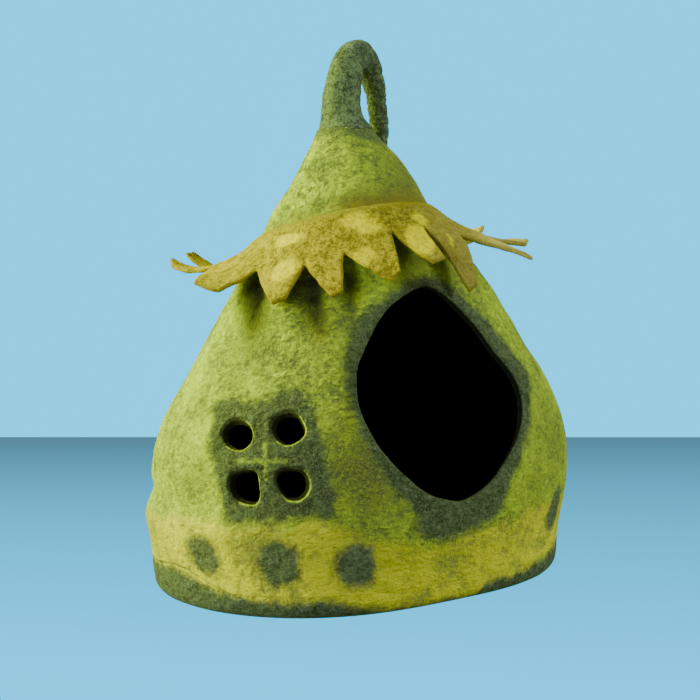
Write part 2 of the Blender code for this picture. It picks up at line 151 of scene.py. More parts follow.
ENTRANCE_RING = (
    (31.6, 0.307), (43.6, 0.301), (50.1, 0.283), (56.1, 0.272), (59.9, 0.258), (62.7, 0.241),
    (66.3, 0.221), (66.9, 0.207), (63.4, 0.19), (58.5, 0.17), (55, 0.15), (51.3, 0.13),
    (48.1, 0.113), (45.3, 0.095), (43.6, 0.084), (41.3, 0.075), (36, 0.07), (30.7, 0.067),
    (25.7, 0.062), (19.3, 0.069), (16.2, 0.077), (14.8, 0.086), (12.5, 0.098), (10.2, 0.11),
    (7.8, 0.12), (5.8, 0.128), (3.3, 0.144), (0.8, 0.159), (-1.4, 0.173), (-3.5, 0.19),
    (-6.1, 0.21), (-6.4, 0.23), (-5.3, 0.251), (-2.5, 0.267), (2.5, 0.278), (11.6, 0.293),
    (20.9, 0.303),
)
WINDOW_PATCH = (
    (-47.5, 0.197), (-41.3, 0.202), (-33, 0.2), (-28, 0.204), (-23.1, 0.209), (-19, 0.211),
    (-17.3, 0.206), (-14.5, 0.195), (-12.4, 0.183), (-10.8, 0.167), (-9.6, 0.151), (-8.4, 0.139),
    (-7.2, 0.126), (-6.6, 0.112), (-7.1, 0.099), (-8.8, 0.093), (-11.5, 0.098), (-14.8, 0.094),
    (-20.8, 0.093), (-28.8, 0.09), (-35, 0.089), (-36.5, 0.1), (-37.8, 0.114), (-39.5, 0.131),
    (-41.5, 0.147), (-43.6, 0.163), (-45.4, 0.179),
)
WINDOW_CROSS = (
    ((-33.6, 0.147), (-29.0, 0.1475), (-25.1, 0.148), (-19.7, 0.148)),
    ((-25.8, 0.163), (-25.1, 0.148), (-24.7, 0.132)),
)
# Upper edges that run all the way round, starting and ending at the back.
BAND_TOP = (
    (-180, 0.084), (-160, 0.08), (-140, 0.086), (-118, 0.082), (-96, 0.087), (-80, 0.084),
    (-65, 0.085), (-56.7, 0.088), (-47.7, 0.091), (-40.5, 0.09), (-35.1, 0.088), (-28.7, 0.088),
    (-22.4, 0.086), (-16.8, 0.089), (-12.9, 0.096), (-9.2, 0.093), (-3.7, 0.082), (2.3, 0.075),
    (6.6, 0.07), (12.9, 0.064), (19.8, 0.059), (25.7, 0.059), (32.1, 0.064), (38.3, 0.068),
    (43.9, 0.07), (52.6, 0.071), (54.6, 0.078), (60.2, 0.078), (66.8, 0.081), (75.2, 0.08),
    (95, 0.085), (118, 0.081), (140, 0.087), (160, 0.082), (180, 0.084),
)
FOOT_TOP = (
    (-180, 0.024), (-150, 0.033), (-120, 0.027), (-95, 0.034), (-71.4, 0.036), (-60.4, 0.039),
    (-53.3, 0.038), (-47.8, 0.033), (-41.9, 0.027), (-35.7, 0.024), (-29.2, 0.02), (-22.4, 0.018),
    (-16.8, 0.018), (-10.9, 0.02), (-7.4, 0.02), (-2.3, 0.012), (2.6, 0.008), (22, 0.002),
    (31.4, 0.005), (39.8, 0.005), (41.5, 0.014), (46.8, 0.017), (55.9, 0.017), (62.4, 0.021),
    (71.1, 0.024), (79.2, 0.032), (100, 0.028), (125, 0.034), (150, 0.026), (180, 0.024),
)
STALK_EDGE = (
    (-180, 0.453), (-120, 0.452), (-51.9, 0.454), (-38.3, 0.456), (-9.4, 0.455), (12.8, 0.453),
    (25.3, 0.449), (48.4, 0.443), (80, 0.438), (120, 0.442), (180, 0.453),
)
CREASE = (
    (-100, 0.03), (-66.6, 0.037), (-56.8, 0.041), (-50.3, 0.04), (-42.9, 0.032), (-36, 0.024))
CREASE_FADE = ((0.0, 8.0), (0.0, 0.02))     # degrees past its ends, added distance
# Above the collar a brownish edge: partly the two felts run together, partly painted shade.
JOINED_AZIMUTHS = (-14.0, 2.0)      # the brownish edge above the collar is fainter on the left
JOINED_SHARES = (0.35, 1.0)
JOINED_ABOVE = 0.002
JOINED_SPREAD = 0.009
# Painted light and shade at the window holes: lime layer on this side, shadow on the other rims.
WINDOW_LIT_SIDE = (0.75, -0.66)     # right and down, as across and up the wall
# The entrance's upper right, where painted shadow brings the lining's dark colour up over the rim.
ENTRANCE_SHADED_SIDE = (0.85, 0.53)
Patch = namedtuple("Patch", "azimuth height width tall share")
# Olive places on the wall: partly olive dye, partly painted shade under the collar and on the
# right.
OLIVE_AND_SHADE_PATCHES = table(Patch,
    (0, 0.138, 15, 0.055, 0.95), (-9, 0.225, 12, 0.055, 0.4), (-26, 0.075, 10, 0.014, 0.5),
    (66, 0.15, 14, 0.05, 0.5), (-48, 0.12, 10, 0.03, 0.3), (130, 0.16, 25, 0.05, 0.5),
    (-120, 0.2, 25, 0.06, 0.4), (4, 0.386, 22, 0.009, 0.9), (45, 0.392, 26, 0.016, 0.9),
    (-38, 0.373, 16, 0.007, 0.5), (-44, 0.235, 13, 0.03, 0.35), (20, 0.045, 36, 0.026, 0.3),
    (28, 0.325, 26, 0.018, 0.75), (-75, 0.06, 22, 0.028, 0.55), (-39, 0.268, 9, 0.026, 0.55),
    (-18, 0.258, 7, 0.022, 0.65), (58, 0.095, 12, 0.025, 0.3), (66, 0.41, 30, 0.034, 0.85),
    (51, 0.312, 10, 0.016, 0.7))
# Painted shade: the collar's shadow and the folds' shade in deep places under the collar.
PAINTED_SHADE_PATCHES = table(Patch,
    (-57, 0.304, 12, 0.016, 1), (-50, 0.29, 10, 0.016, 1), (-46, 0.275, 7.5, 0.014, 0.8),
    (-42.5, 0.262, 5.5, 0.012, 0.4), (-22, 0.307, 9.5, 0.014, 1), (-20.5, 0.292, 7.2, 0.012, 0.95),
    (-17.5, 0.276, 5.4, 0.012, 0.85), (-15, 0.262, 3.8, 0.01, 0.55), (-5.5, 0.304, 4, 0.016, 0.85),
    (-4.5, 0.285, 3.5, 0.014, 0.5), (20, 0.335, 7, 0.01, 0.7), (30, 0.322, 14, 0.01, 0.3),
    (25, 0.303, 12, 0.008, 0.75), (-4, 0.215, 2.5, 0.05, 0.35), (110, 0.305, 7, 0.018, 0.6),
    (150, 0.3, 7, 0.018, 0.7), (-175, 0.3, 7, 0.018, 0.6), (-110, 0.3, 7, 0.018, 0.7),
    (-145, 0.3, 7, 0.018, 0.6))
# Where the felt is most wrinkled and mottled.
LIVELY = table(Patch,
    (-6, 0.19, 20, 0.07, 1), (-50, 0.4, 60, 0.08, 0.55), (-30, 0.27, 35, 0.035, 0.45))
# Up is the height on the wall, or the way along the sheet from the collar's upper edge.
# A squareness of 2 makes a round spot, and more a squarer one.
Spot = namedtuple("Spot", "azimuth up width tall lean squareness", defaults=(2,))
BAND_SPOTS = table(Spot,
    (-42.4, 0.0576, 0.041, 0.039, -0.3, 3), (-19.9, 0.0546, 0.043, 0.043, 0, 2.3),
    (-0.5, 0.0495, 0.041, 0.042, -0.1, 2.6), (71.2, 0.069, 0.036, 0.044, 0.1, 2.2),
    (97, 0.064, 0.038, 0.036, 0, 2.4), (121, 0.056, 0.036, 0.04, 0.2, 2.2),
    (144, 0.06, 0.04, 0.036, 0, 2.6), (168, 0.056, 0.037, 0.039, -0.2, 2.3),
    (-168, 0.061, 0.036, 0.036, 0.1, 2.4), (-144, 0.055, 0.038, 0.037, 0, 2.2),
    (-120, 0.062, 0.036, 0.04, 0.2, 2.5), (-97, 0.058, 0.037, 0.037, 0, 2.3))

# ------------------------------------------------------------------ shape of the collar

COLLAR_THICKNESS = 0.0048
COLLAR_EDGE_SHARE = 0.22    # thickness left at the felted-on upper edge
COLLAR_GAP = 0.0005         # between the collar's root band and the cone
COLLAR_HEIGHT = 0.3655      # of its upper edge, which is tilted
COLLAR_TILT_RIGHT = 0.0115
COLLAR_TILT_FRONT = 0.0115
COLLAR_ROOT_BAND = 0.008    # width of the band that lies on the cone
COLLAR_START = -80.0        # azimuth of the first tooth's left-hand edge
COLLAR_LIFT = 0.4           # how soon the ring lifts off the cone, below 1 for sooner
TOOTH_TAPER = 0.9
RING_ROWS = 7
TOOTH_ROWS = 10
COLLAR_COLUMNS = 9          # points across a tooth
COLLAR_LUMPS = ((0.016, 1.0), (0.006, 0.5))

# Going round from the front left: degrees of the ring, length to the tip, length to the
# right-hand notch, droops at the notch, middle and tip, sideways shift, width of the tip,
# and how far its right-hand edge is rolled up at the tip. Droops are degrees below level.
Tooth = namedtuple("Tooth", "width length notch notch_droop middle_droop tip_droop lean tip roll")
COLLAR_TEETH = table(Tooth,
    (31, 0.099, 0.057, 47, 18, 31, 5, 0.019, 0), (26, 0.101, 0.06, 54, 49, 49, 6.5, 0.009, 0),
    (18, 0.1, 0.055, 52, 52, 50, 7, 0.01, 0), (25, 0.094, 0.039, 45, 44, 44, 8, 0.009, 0),
    (19, 0.093, 0.039, 39, 34, 34, 3, 0.012, 0), (20, 0.118, 0.056, 32, 60, 60, -2, 0.006, 0),
    (31, 0.117, 0.052, 22, 24, 23, 8, 0.006, -0.005), (26, 0.11, 0.05, 22, 8, 3, -8, 0.005, 0.005),
    (26, 0.115, 0.05, 26, -27, -30, 2, 0.024, 0.003), (24, 0.1, 0.05, 36, 22, 10, 3, 0.008, 0),
    (23, 0.104, 0.052, 40, 38, 30, -3, 0.007, 0), (23, 0.098, 0.05, 38, 34, 36, 2, 0.009, 0),
    (22, 0.102, 0.052, 30, 14, -6, -2, 0.007, 0),
    (23, 0.112, 0.05, 16, -30, -54, 6, 0.014, -0.008),
    (23, 0.113, 0.054, 20, -4, -36, -6, 0.011, -0.003))
COLLAR_SPOTS = table(Spot,
    (-38, 0.026, 0.028, 0.015, 0.1), (-32.3, 0.065, 0.023, 0.026, 0),
    (0.5, 0.017, 0.026, 0.017, 0), (8.5, 0.028, 0.022, 0.02, 0.2), (3.5, 0.063, 0.02, 0.018, 0),
    (41, 0.028, 0.015, 0.017, 0), (31, 0.058, 0.027, 0.046, -0.2), (48, 0.062, 0.005, 0.02, -0.5),
    (88, 0.045, 0.022, 0.02, 0), (112, 0.06, 0.02, 0.024, 0), (138, 0.03, 0.024, 0.016, 0),
    (163, 0.063, 0.02, 0.026, 0.1), (-170, 0.028, 0.026, 0.016, 0), (-143, 0.062, 0.022, 0.022, 0),
    (-118, 0.032, 0.024, 0.018, 0), (-97, 0.065, 0.018, 0.024, 0))

# ------------------------------------------------------------------- shape of the stalk

StalkPoint = namedtuple("StalkPoint", "x y z radius")
# It starts inside the cone, wide enough to leave it flush.
STALK_ROUTE = table(StalkPoint,
    (0.0037, 0, 0.458, 0.03), (0.0022, 0, 0.472, 0.0226), (0.0021, -0.001, 0.489, 0.02),
    (0.005, -0.001, 0.506, 0.0188), (0.0085, 0.002, 0.522, 0.0178), (0.0145, 0.01, 0.535, 0.0168),
    (0.0225, 0.022, 0.5395, 0.016), (0.031, 0.034, 0.532, 0.0142), (0.037, 0.043, 0.514, 0.012),
    (0.04, 0.047, 0.492, 0.0107), (0.0415, 0.048, 0.468, 0.0104), (0.0392, 0.045, 0.45, 0.0104),
    (0.033, 0.038, 0.435, 0.0104), (0.027, 0.029, 0.422, 0.01))
STALK_COLUMNS = 56
STALK_WELD = 0.00005        # fine, because the loop's inside bend has small faces
STALK_LUMPS = ((0.014, 1.0), (0.006, 0.6))
STALK_LUMP_HEIGHTS = (0.464, 0.476)     # the lumps fade in between these
SEAT_COLUMNS = 180
STALK_STEPS = 14
# Creases round the rope, as (share of its length, depth, length).
STALK_CREASES = (
    (0.3, 0.0006, 0.0016), (0.44, 0.0007, 0.0018), (0.55, 0.0008, 0.0016), (0.625, 0.001, 0.0014),
    (0.65, 0.0008, 0.0014), (0.675, 0.001, 0.0014), (0.73, 0.0009, 0.0016),
    (0.775, 0.0009, 0.0016), (0.83, 0.001, 0.0018), (0.87, 0.0007, 0.0014),
)
PIECE_GAP = 0.0003          # between pieces that touch

# --------------------------------------------------------------------------- the studio

CAMERA_PLACE = (0.0, -1.456, 0.3227)
CAMERA_LENS = 72.0
CAMERA_SENSOR = 36.0
CAMERA_PITCH = 3.5          # degrees below horizontal
CAMERA_ROLL = -2.5
Lamp = namedtuple("Lamp", "name azimuth elevation distance size colour")
STUDIO_AIM = (0.0, 0.0, 0.22)
BACKDROP_RADIUS = 9.0
BACKDROP_HEIGHTS = (-2.0, 9.0)
BACKDROP_COLUMNS = 64
# The floor's far edge is askew, so that it looks level to the tilted camera.
FLOOR_CORNERS = ((-6.0, -6.0, 0.0), (6.0, -6.0, 0.0), (6.0, 6.0, 0.0), (2.3, 6.0, 0.0),
                 (0.70, 0.90, 0.0), (-0.85, 1.451, 0.0), (-2.8, 6.0, 0.0), (-6.0, 6.0, 0.0))
STUDIO_LAMPS = table(Lamp,
    ("key_light", -105, 38, 2, 0.8, (1, 1, 0.45)), ("side_light", -80, 12, 2, 0.8, (1, 1, 0.5)),
    ("front_light", -50, 15, 2, 0.8, (0.93, 1, 2.4)),
    ("right_light", 68, 22, 2, 0.8, (0.95, 1, 2.1)), ("back_light", 170, 45, 2, 0.8, (1, 1, 1)))
AMBIENT_COLOUR = (0.92, 0.98, 1.45)
FLOOR_BASE = (0.0, 0.01, 0.02)
# The floor's glow darkens from front to back, askew like its far edge.
FLOOR_SKEW = 0.30
FLOOR_FADE = (-0.42, 1.14)
FLOOR_FADE_POWER = 1.3


# -------------------------------------------------------------------------- table maths

def column_at(rows, column, places):
    """Values of a table's column at places along its first column, on a smooth curve."""
    knots = np.array([row[0] for row in rows])
    values = np.array([getattr(row, column) for row in rows])
    before = np.maximum(np.arange(len(knots)) - 1, 0)
    after = np.minimum(np.arange(len(knots)) + 1, len(knots) - 1)
    slopes = (values[after] - values[before]) / (knots[after] - knots[before])
    places = np.clip(places, knots[0], knots[-1])
    span = np.clip(np.searchsorted(knots, places, side="right") - 1, 0, len(knots) - 2)
    step = knots[span + 1] - knots[span]
    share = (places - knots[span]) / step
    rise = values[span + 1] - values[span]
    leave, arrive = slopes[span] * step, slopes[span + 1] * step
    return (values[span] + share * leave + share ** 2 * (3 * rise - 2 * leave - arrive)
            + share ** 3 * (leave + arrive - 2 * rise))


def smooth_route(points, steps, closed=False):
    """Points on a Catmull-Rom curve through the given ones, with so many steps a span."""
    points = np.array(points, float)
    count = len(points)
    spans = np.arange(count if closed else count - 1)
    picked = [(spans + shift) % count if closed else np.clip(spans + shift, 0, count - 1)
              for shift in (-1, 0, 1, 2)]
    before, near, far, after = (points[index][:, None, :] for index in picked)
    share = (np.arange(steps) / steps)[None, :, None]
    route = 0.5 * (2 * near + (far - before) * share
                   + (2 * before - 5 * near + 4 * far - after) * share ** 2
                   + (3 * near - before - 3 * far + after) * share ** 3)
    route = route.reshape(-1, points.shape[1])
    return route if closed else np.concatenate([route, points[-1:]])


def angle_between(azimuth, other):
    """Signed difference of azimuths in degrees, within half a turn."""
    return (azimuth - other + 180.0) % 360.0 - 180.0


def unit(vectors):
    """The same directions with a length of 1."""
    return vectors / np.linalg.norm(vectors, axis=-1, keepdims=True)


# --------------------------------------------------------------------------- wall shape

def felt_surface(azimuth, height, radius=None):
    """Points of the real wall, which leans and is lumpy, from places on the turned form."""
    wall_radius = column_at(WALL_SECTIONS, "radius", height)
    radius = wall_radius if radius is None else radius
    reach = radius * reach_factor(azimuth, height)
    lean = column_at(WALL_SECTIONS, "lean", height)
    turn = np.radians(azimuth)
    return np.stack(np.broadcast_arrays(
        lean + reach * np.sin(turn), -reach * np.cos(turn), height), axis=-1)


def reach_factor(azimuth, height):
    """How far the wall stands out at a place, as a share of the turned form's radius."""
    off_flat = angle_between(azimuth, FLAT_AZIMUTH) / FLAT_SPREAD
    share = column_at(FLAT_SHARES, "share", height) * np.exp(-off_flat ** 2)
    bulge = 0.0
    for fold in WALL_FOLDS:
        aside = angle_between(azimuth, fold.azimuth) / fold.width
        above = (height - fold.height) / fold.tall
        bulge = bulge + fold.depth * np.exp(-aside ** 2 - above ** 2)
    return 1.0 - share + bulge / column_at(WALL_SECTIONS, "radius", height)


def wall_normals(azimuth, height):
    """Outward directions square to the wall."""
    across = (felt_surface(azimuth + SMALL_ANGLE, height)
              - felt_surface(azimuth - SMALL_ANGLE, height))
    upward = (felt_surface(azimuth, height + SMALL_RISE)
              - felt_surface(azimuth, height - SMALL_RISE))
    return unit(np.cross(across, upward))


def wall_slope(heights):
    """Change of the wall's radius with height."""
    return (column_at(WALL_SECTIONS, "radius", heights + SMALL_RISE)
            - column_at(WALL_SECTIONS, "radius", heights - SMALL_RISE)) / (2 * SMALL_RISE)


def wall_places(points):
    """Azimuth, height and depth below the outer face of points in or on the wall."""
    height = np.clip(points[:, 2], 0.0, TOP_HEIGHT)
    aside = points[:, 0] - column_at(WALL_SECTIONS, "lean", height)
    azimuth = np.degrees(np.arctan2(aside, -points[:, 1]))
    radius = column_at(WALL_SECTIONS, "radius", height)
    inwards = radius * reach_factor(azimuth, height) - np.hypot(aside, points[:, 1])
    depth = np.minimum(inwards / np.sqrt(1.0 + wall_slope(height) ** 2), points[:, 2])
    return azimuth, height, np.clip(depth, 0.0, WALL)


# ------------------------------------------------------------------------- mesh helpers

def new_mesh_object(name, points, faces):
    """A smooth-shaded object from arrays of points and faces, in the scene."""
    mesh = bpy.data.meshes.new(name)
    mesh.from_pydata([tuple(point) for point in points], [], [tuple(face) for face in faces])
    mesh.shade_smooth()
    made = bpy.data.objects.new(name, mesh)
    bpy.context.scene.collection.objects.link(made)
    return made


def point_array(mesh):
    points = np.empty(len(mesh.vertices) * 3)
    mesh.vertices.foreach_get("co", points)
    return points.reshape(-1, 3)


def loft(name, rings, end_points):
    """A closed form through rings of equal point counts, fanned to a point at each end."""
    rings = np.asarray(rings)
    count, around = rings.shape[:2]
    points = np.concatenate([rings.reshape(-1, 3), end_points])
    here = np.arange(around)
    after = (here + 1) % around
    faces = []
    for ring in range(count - 1):
        low, high = ring * around, (ring + 1) * around
        faces += zip(low + here, low + after, high + after, high + here)
    first, last = count * around, count * around + 1
    faces += zip(after, here, np.full(around, first))
    top = (count - 1) * around
    faces += zip(top + here, top + after, np.full(around, last))
    return new_mesh_object(name, points, faces)


def turned_form(name, profile, columns):
    """A closed felt form from (radius, height) rows between its two ends on the axis."""
    azimuths = np.arange(columns) * 360.0 / columns
    rings = [felt_surface(azimuths, np.full(columns, height), np.full(columns, radius))
             for radius, height in profile[1:-1]]
    ends = [felt_surface(np.zeros(1), np.full(1, height), np.zeros(1))[0]
            for _, height in (profile[0], profile[-1])]
    return loft(name, rings, ends)


@contextmanager
def open_mesh(piece):
    """A piece's mesh, open for editing and written back at the end."""
    mesh = bmesh.new()
    mesh.from_mesh(piece.data)
    yield mesh
    mesh.to_mesh(piece.data)
    mesh.free()


def face_outwards(piece):
    with open_mesh(piece) as mesh:
        bmesh.ops.recalc_face_normals(mesh, faces=mesh.faces)


def join_points(piece, distance):
    """Joins points that are closer together than the distance."""
    with open_mesh(piece) as mesh:
        bmesh.ops.remove_doubles(mesh, verts=mesh.verts, dist=distance)


def weld(piece, distance):
    """Joins points, clears the flat faces that this leaves and makes all faces triangles."""
    with open_mesh(piece) as mesh:
        bmesh.ops.remove_doubles(mesh, verts=mesh.verts, dist=distance)
        bmesh.ops.dissolve_degenerate(mesh, dist=SMALLEST_EDGE, edges=mesh.edges)
        bmesh.ops.triangulate(mesh, faces=mesh.faces)


def cut_away(piece, cutter):
    """Takes one closed form out of another and removes the cutter."""
    face_outwards(cutter)
    cut = piece.modifiers.new("cut", "BOOLEAN")
    cut.operation = "DIFFERENCE"
    cut.solver = "MANIFOLD"
    cut.object = cutter
    apply_modifiers(piece)
    bpy.data.objects.remove(cutter)


def apply_modifiers(piece):
    bpy.context.view_layer.objects.active = piece
    for modifier in list(piece.modifiers):
        bpy.ops.object.modifier_apply(modifier=modifier.name)


def dress(piece, material):
    """Gives a piece its one material, in place of the empty slots that cuts leave."""
    piece.data.materials.clear()
    piece.data.materials.append(material)
    piece.data.shade_smooth()


def write_attribute(mesh, name, values):
    attribute = mesh.attributes.new(name, "FLOAT", "POINT")
    attribute.data.foreach_set("value", np.ascontiguousarray(values, np.float32))


def push_by_noise(mesh, lump_height, layers, strength=1.0):
    """Moves points along their normals by smooth noise: (size, share) of each layer."""
    points = point_array(mesh)
    normals = np.empty(len(points) * 3)
    mesh.vertex_normals.foreach_get("vector", normals)
    heights = np.zeros(len(points))
    for size, share in layers:
        lumps = np.array([noise.noise(Vector(point)) for point in points / size])
        heights += share * lump_height * lumps
    points += (strength * heights)[:, None] * normals.reshape(-1, 3)
    mesh.vertices.foreach_set("co", points.ravel())
    mesh.update()


# ---------------------------------------------------------------------- dyed zone maths

def distance_to_line(points, line):
    """Distance of each point to a line of points."""
    best = np.full(len(points), np.inf)
    for start, end in zip(line, line[1:]):
        along = end - start
        length = max(np.linalg.norm(along), SMALLEST_LENGTH)
        share = np.clip((points - start) @ along / length ** 2, 0.0, 1.0)
        best = np.minimum(best, np.linalg.norm(points - start - share[:, None] * along, axis=1))
    return best


def inside_outline(azimuth, height, outline):
    """Which places are inside a closed outline, by counting the sides on their right."""
    inside = np.zeros(len(azimuth), bool)
    for (x0, y0), (x1, y1) in zip(outline, np.roll(outline, -1, axis=0)):
        if y0 == y1:
            continue
        crossed = ((y0 > height) != (y1 > height)) & (
            azimuth < (x1 - x0) * (height - y0) / (y1 - y0) + x0)
        inside ^= crossed
    return inside


def outline_distance(azimuth, height, outline, steps=4):
    """Distance along the wall to a closed outline, negative inside it."""
    curve = smooth_route(outline, steps, closed=True)
    line = felt_surface(curve[:, 0], curve[:, 1])
    distance = distance_to_line(felt_surface(azimuth, height), np.concatenate([line, line[:1]]))
    return np.where(inside_outline(azimuth, height, curve), -distance, distance)


def spot_distance(azimuth, radius, place, spots):
    """Distance to the nearest spot's edge, negative inside it."""
    best = np.full(len(azimuth), 1.0)
    for spot in spots:
        up = place - spot.up
        across = np.radians(angle_between(azimuth, spot.azimuth)) * radius - spot.lean * up
        reach = (np.abs(2.0 * across / spot.width) ** spot.squareness
                 + np.abs(2.0 * up / spot.tall) ** spot.squareness) ** (1.0 / spot.squareness)
        best = np.minimum(best, (reach - 1.0) * (spot.width + spot.tall) / 4.0)
    return best


def patch_strength(azimuth, height, patches):
    """Strength of soft-edged patches, fading from the middle of each and run together."""
    left = np.ones(len(azimuth))
    for patch in patches:
        left *= 1.0 - patch.share * np.exp(
            -(angle_between(azimuth, patch.azimuth) / patch.width) ** 2
            - ((height - patch.height) / patch.tall) ** 2)
    return 1.0 - left


# ------------------------------------------------------------------------- felt shaders

FELT_ROUGHNESS = 0.95
SHEEN_ROUGHNESS = 0.5
DYE_EDGE = 0.0072           # half the width of the soft edge between two dyed colours
BAND_EDGE = 0.006
CROSS_EDGE = 0.0036
NEAR_WINDOW = (0.004, 0.008)    # distances from a window hole's edge
LAYER_STARTS = (0.0006, 0.0011)     # depths in the cut of a window hole, where the lime
LAYER_ENDS = (0.0018, 0.0026)       # layer of felt begins and ends
LINING_STARTS = (0.0036, 0.0052)
CREASE_DEPTH = 0.0012
CREASE_WIDTH = 0.0022


class Wire:
    """A node's output that can be used in ordinary arithmetic."""

    def __init__(self, tree, socket):
        self.tree = tree
        self.socket = socket

    def node(self, kind, inputs, output=0, **settings):
        """Any other node: inputs by name or number, which output to take, and settings."""
        made = self.tree.nodes.new(kind)
        for setting, value in settings.items():
            setattr(made, setting, value)
        for key, value in inputs.items():
            self.feed(made.inputs[key], value)
        return Wire(self.tree, made.outputs[output])

    def feed(self, socket, value):
        if isinstance(value, Wire):
            self.tree.links.new(value.socket, socket)
        else:
            socket.default_value = value

    def math(self, operation, *values):
        return self.node("ShaderNodeMath", dict(enumerate(values)), operation=operation)

    def __add__(self, other):
        return self.math("ADD", self, other)

    def __mul__(self, other):
        return self.math("MULTIPLY", self, other)

    def __sub__(self, other):
        return self.math("SUBTRACT", self, other)

    def __rsub__(self, other):
        return self.math("SUBTRACT", other, self)

    def __abs__(self):
        return self.math("ABSOLUTE", self)

    __radd__ = __add__
    __rmul__ = __mul__

    def ramp(self, low, high):
        """0 below low, 1 above high and a smooth step between."""
        return self.node("ShaderNodeMapRange", {0: self, 1: low, 2: high},
                         interpolation_type="SMOOTHSTEP")

    def choose(self, off, on):
        """One colour where this is 0 and another where it is 1."""
        return self.node("ShaderNodeMix", {0: self, 6: colour_value(off), 7: colour_value(on)},
                         output=2, data_type="RGBA")

    def stretch(self, *factors):
        return self.node("ShaderNodeVectorMath", {0: self, 1: factors}, operation="MULTIPLY")

    def shift(self, *offsets):
        return self.node("ShaderNodeVectorMath", {0: self, 1: offsets}, operation="ADD")

    def axis(self, which):
        """One coordinate of a place: 0 across, 1 from front to back."""
        return self.node("ShaderNodeSeparateXYZ", {0: self}, output=which)

    def attribute(self, name):
        """A value that is written on the points of the mesh."""
        return self.node("ShaderNodeAttribute", {}, output=2, attribute_name=name)

    def noise(self, scale, detail=2.0, roughness=0.5, distortion=0.0):
        """Smooth noise about 0, with features of about one over the scale."""
        return self.node("ShaderNodeTexNoise", {
            "Vector": self, "Scale": scale, "Detail": detail, "Roughness": roughness,
            "Distortion": distortion}) - 0.5

    def threads(self, scale, width, distortion=1.2):
        """Curly lines where a warped noise passes through its middle: 1 on a line."""
        curl = self.noise(scale, 2.0, 0.5, distortion)
        return 1.0 - abs(curl).ramp(0.0, width)


def colour_value(colour):
    return colour if isinstance(colour, Wire) else (*colour, 1.0)


def new_shader(name):
    """A material with its nodes, its shader node and the object coordinates."""
    material = bpy.data.materials.new(name)
    material.use_nodes = True
    tree = material.node_tree
    shader = tree.nodes["Principled BSDF"]
    shader.inputs["Roughness"].default_value = FELT_ROUGHNESS
    shader.inputs["Specular IOR Level"].default_value = 0.0
    place = Wire(tree, tree.nodes.new("ShaderNodeTexCoord").outputs["Object"])
    return material, shader, place


def felt_shader(name, look):
    """A new material with the faint sheen of loose fibres."""
    material, shader, place = new_shader(name)
    shader.inputs["Sheen Weight"].default_value = look.fuzz
    shader.inputs["Sheen Roughness"].default_value = SHEEN_ROUGHNESS
    shader.inputs["Sheen Tint"].default_value = (*look.fuzz_colour, 1.0)
    return material, shader, place


def finish_shader(shader, colour, height):
    """Gives a shader its colour and the relief of its surface."""
    colour.feed(shader.inputs["Base Color"], colour)
    bump = height.node("ShaderNodeBump", {"Strength": 1.0, "Distance": 1.0, "Height": height})
    bump.feed(shader.inputs["Normal"], bump)


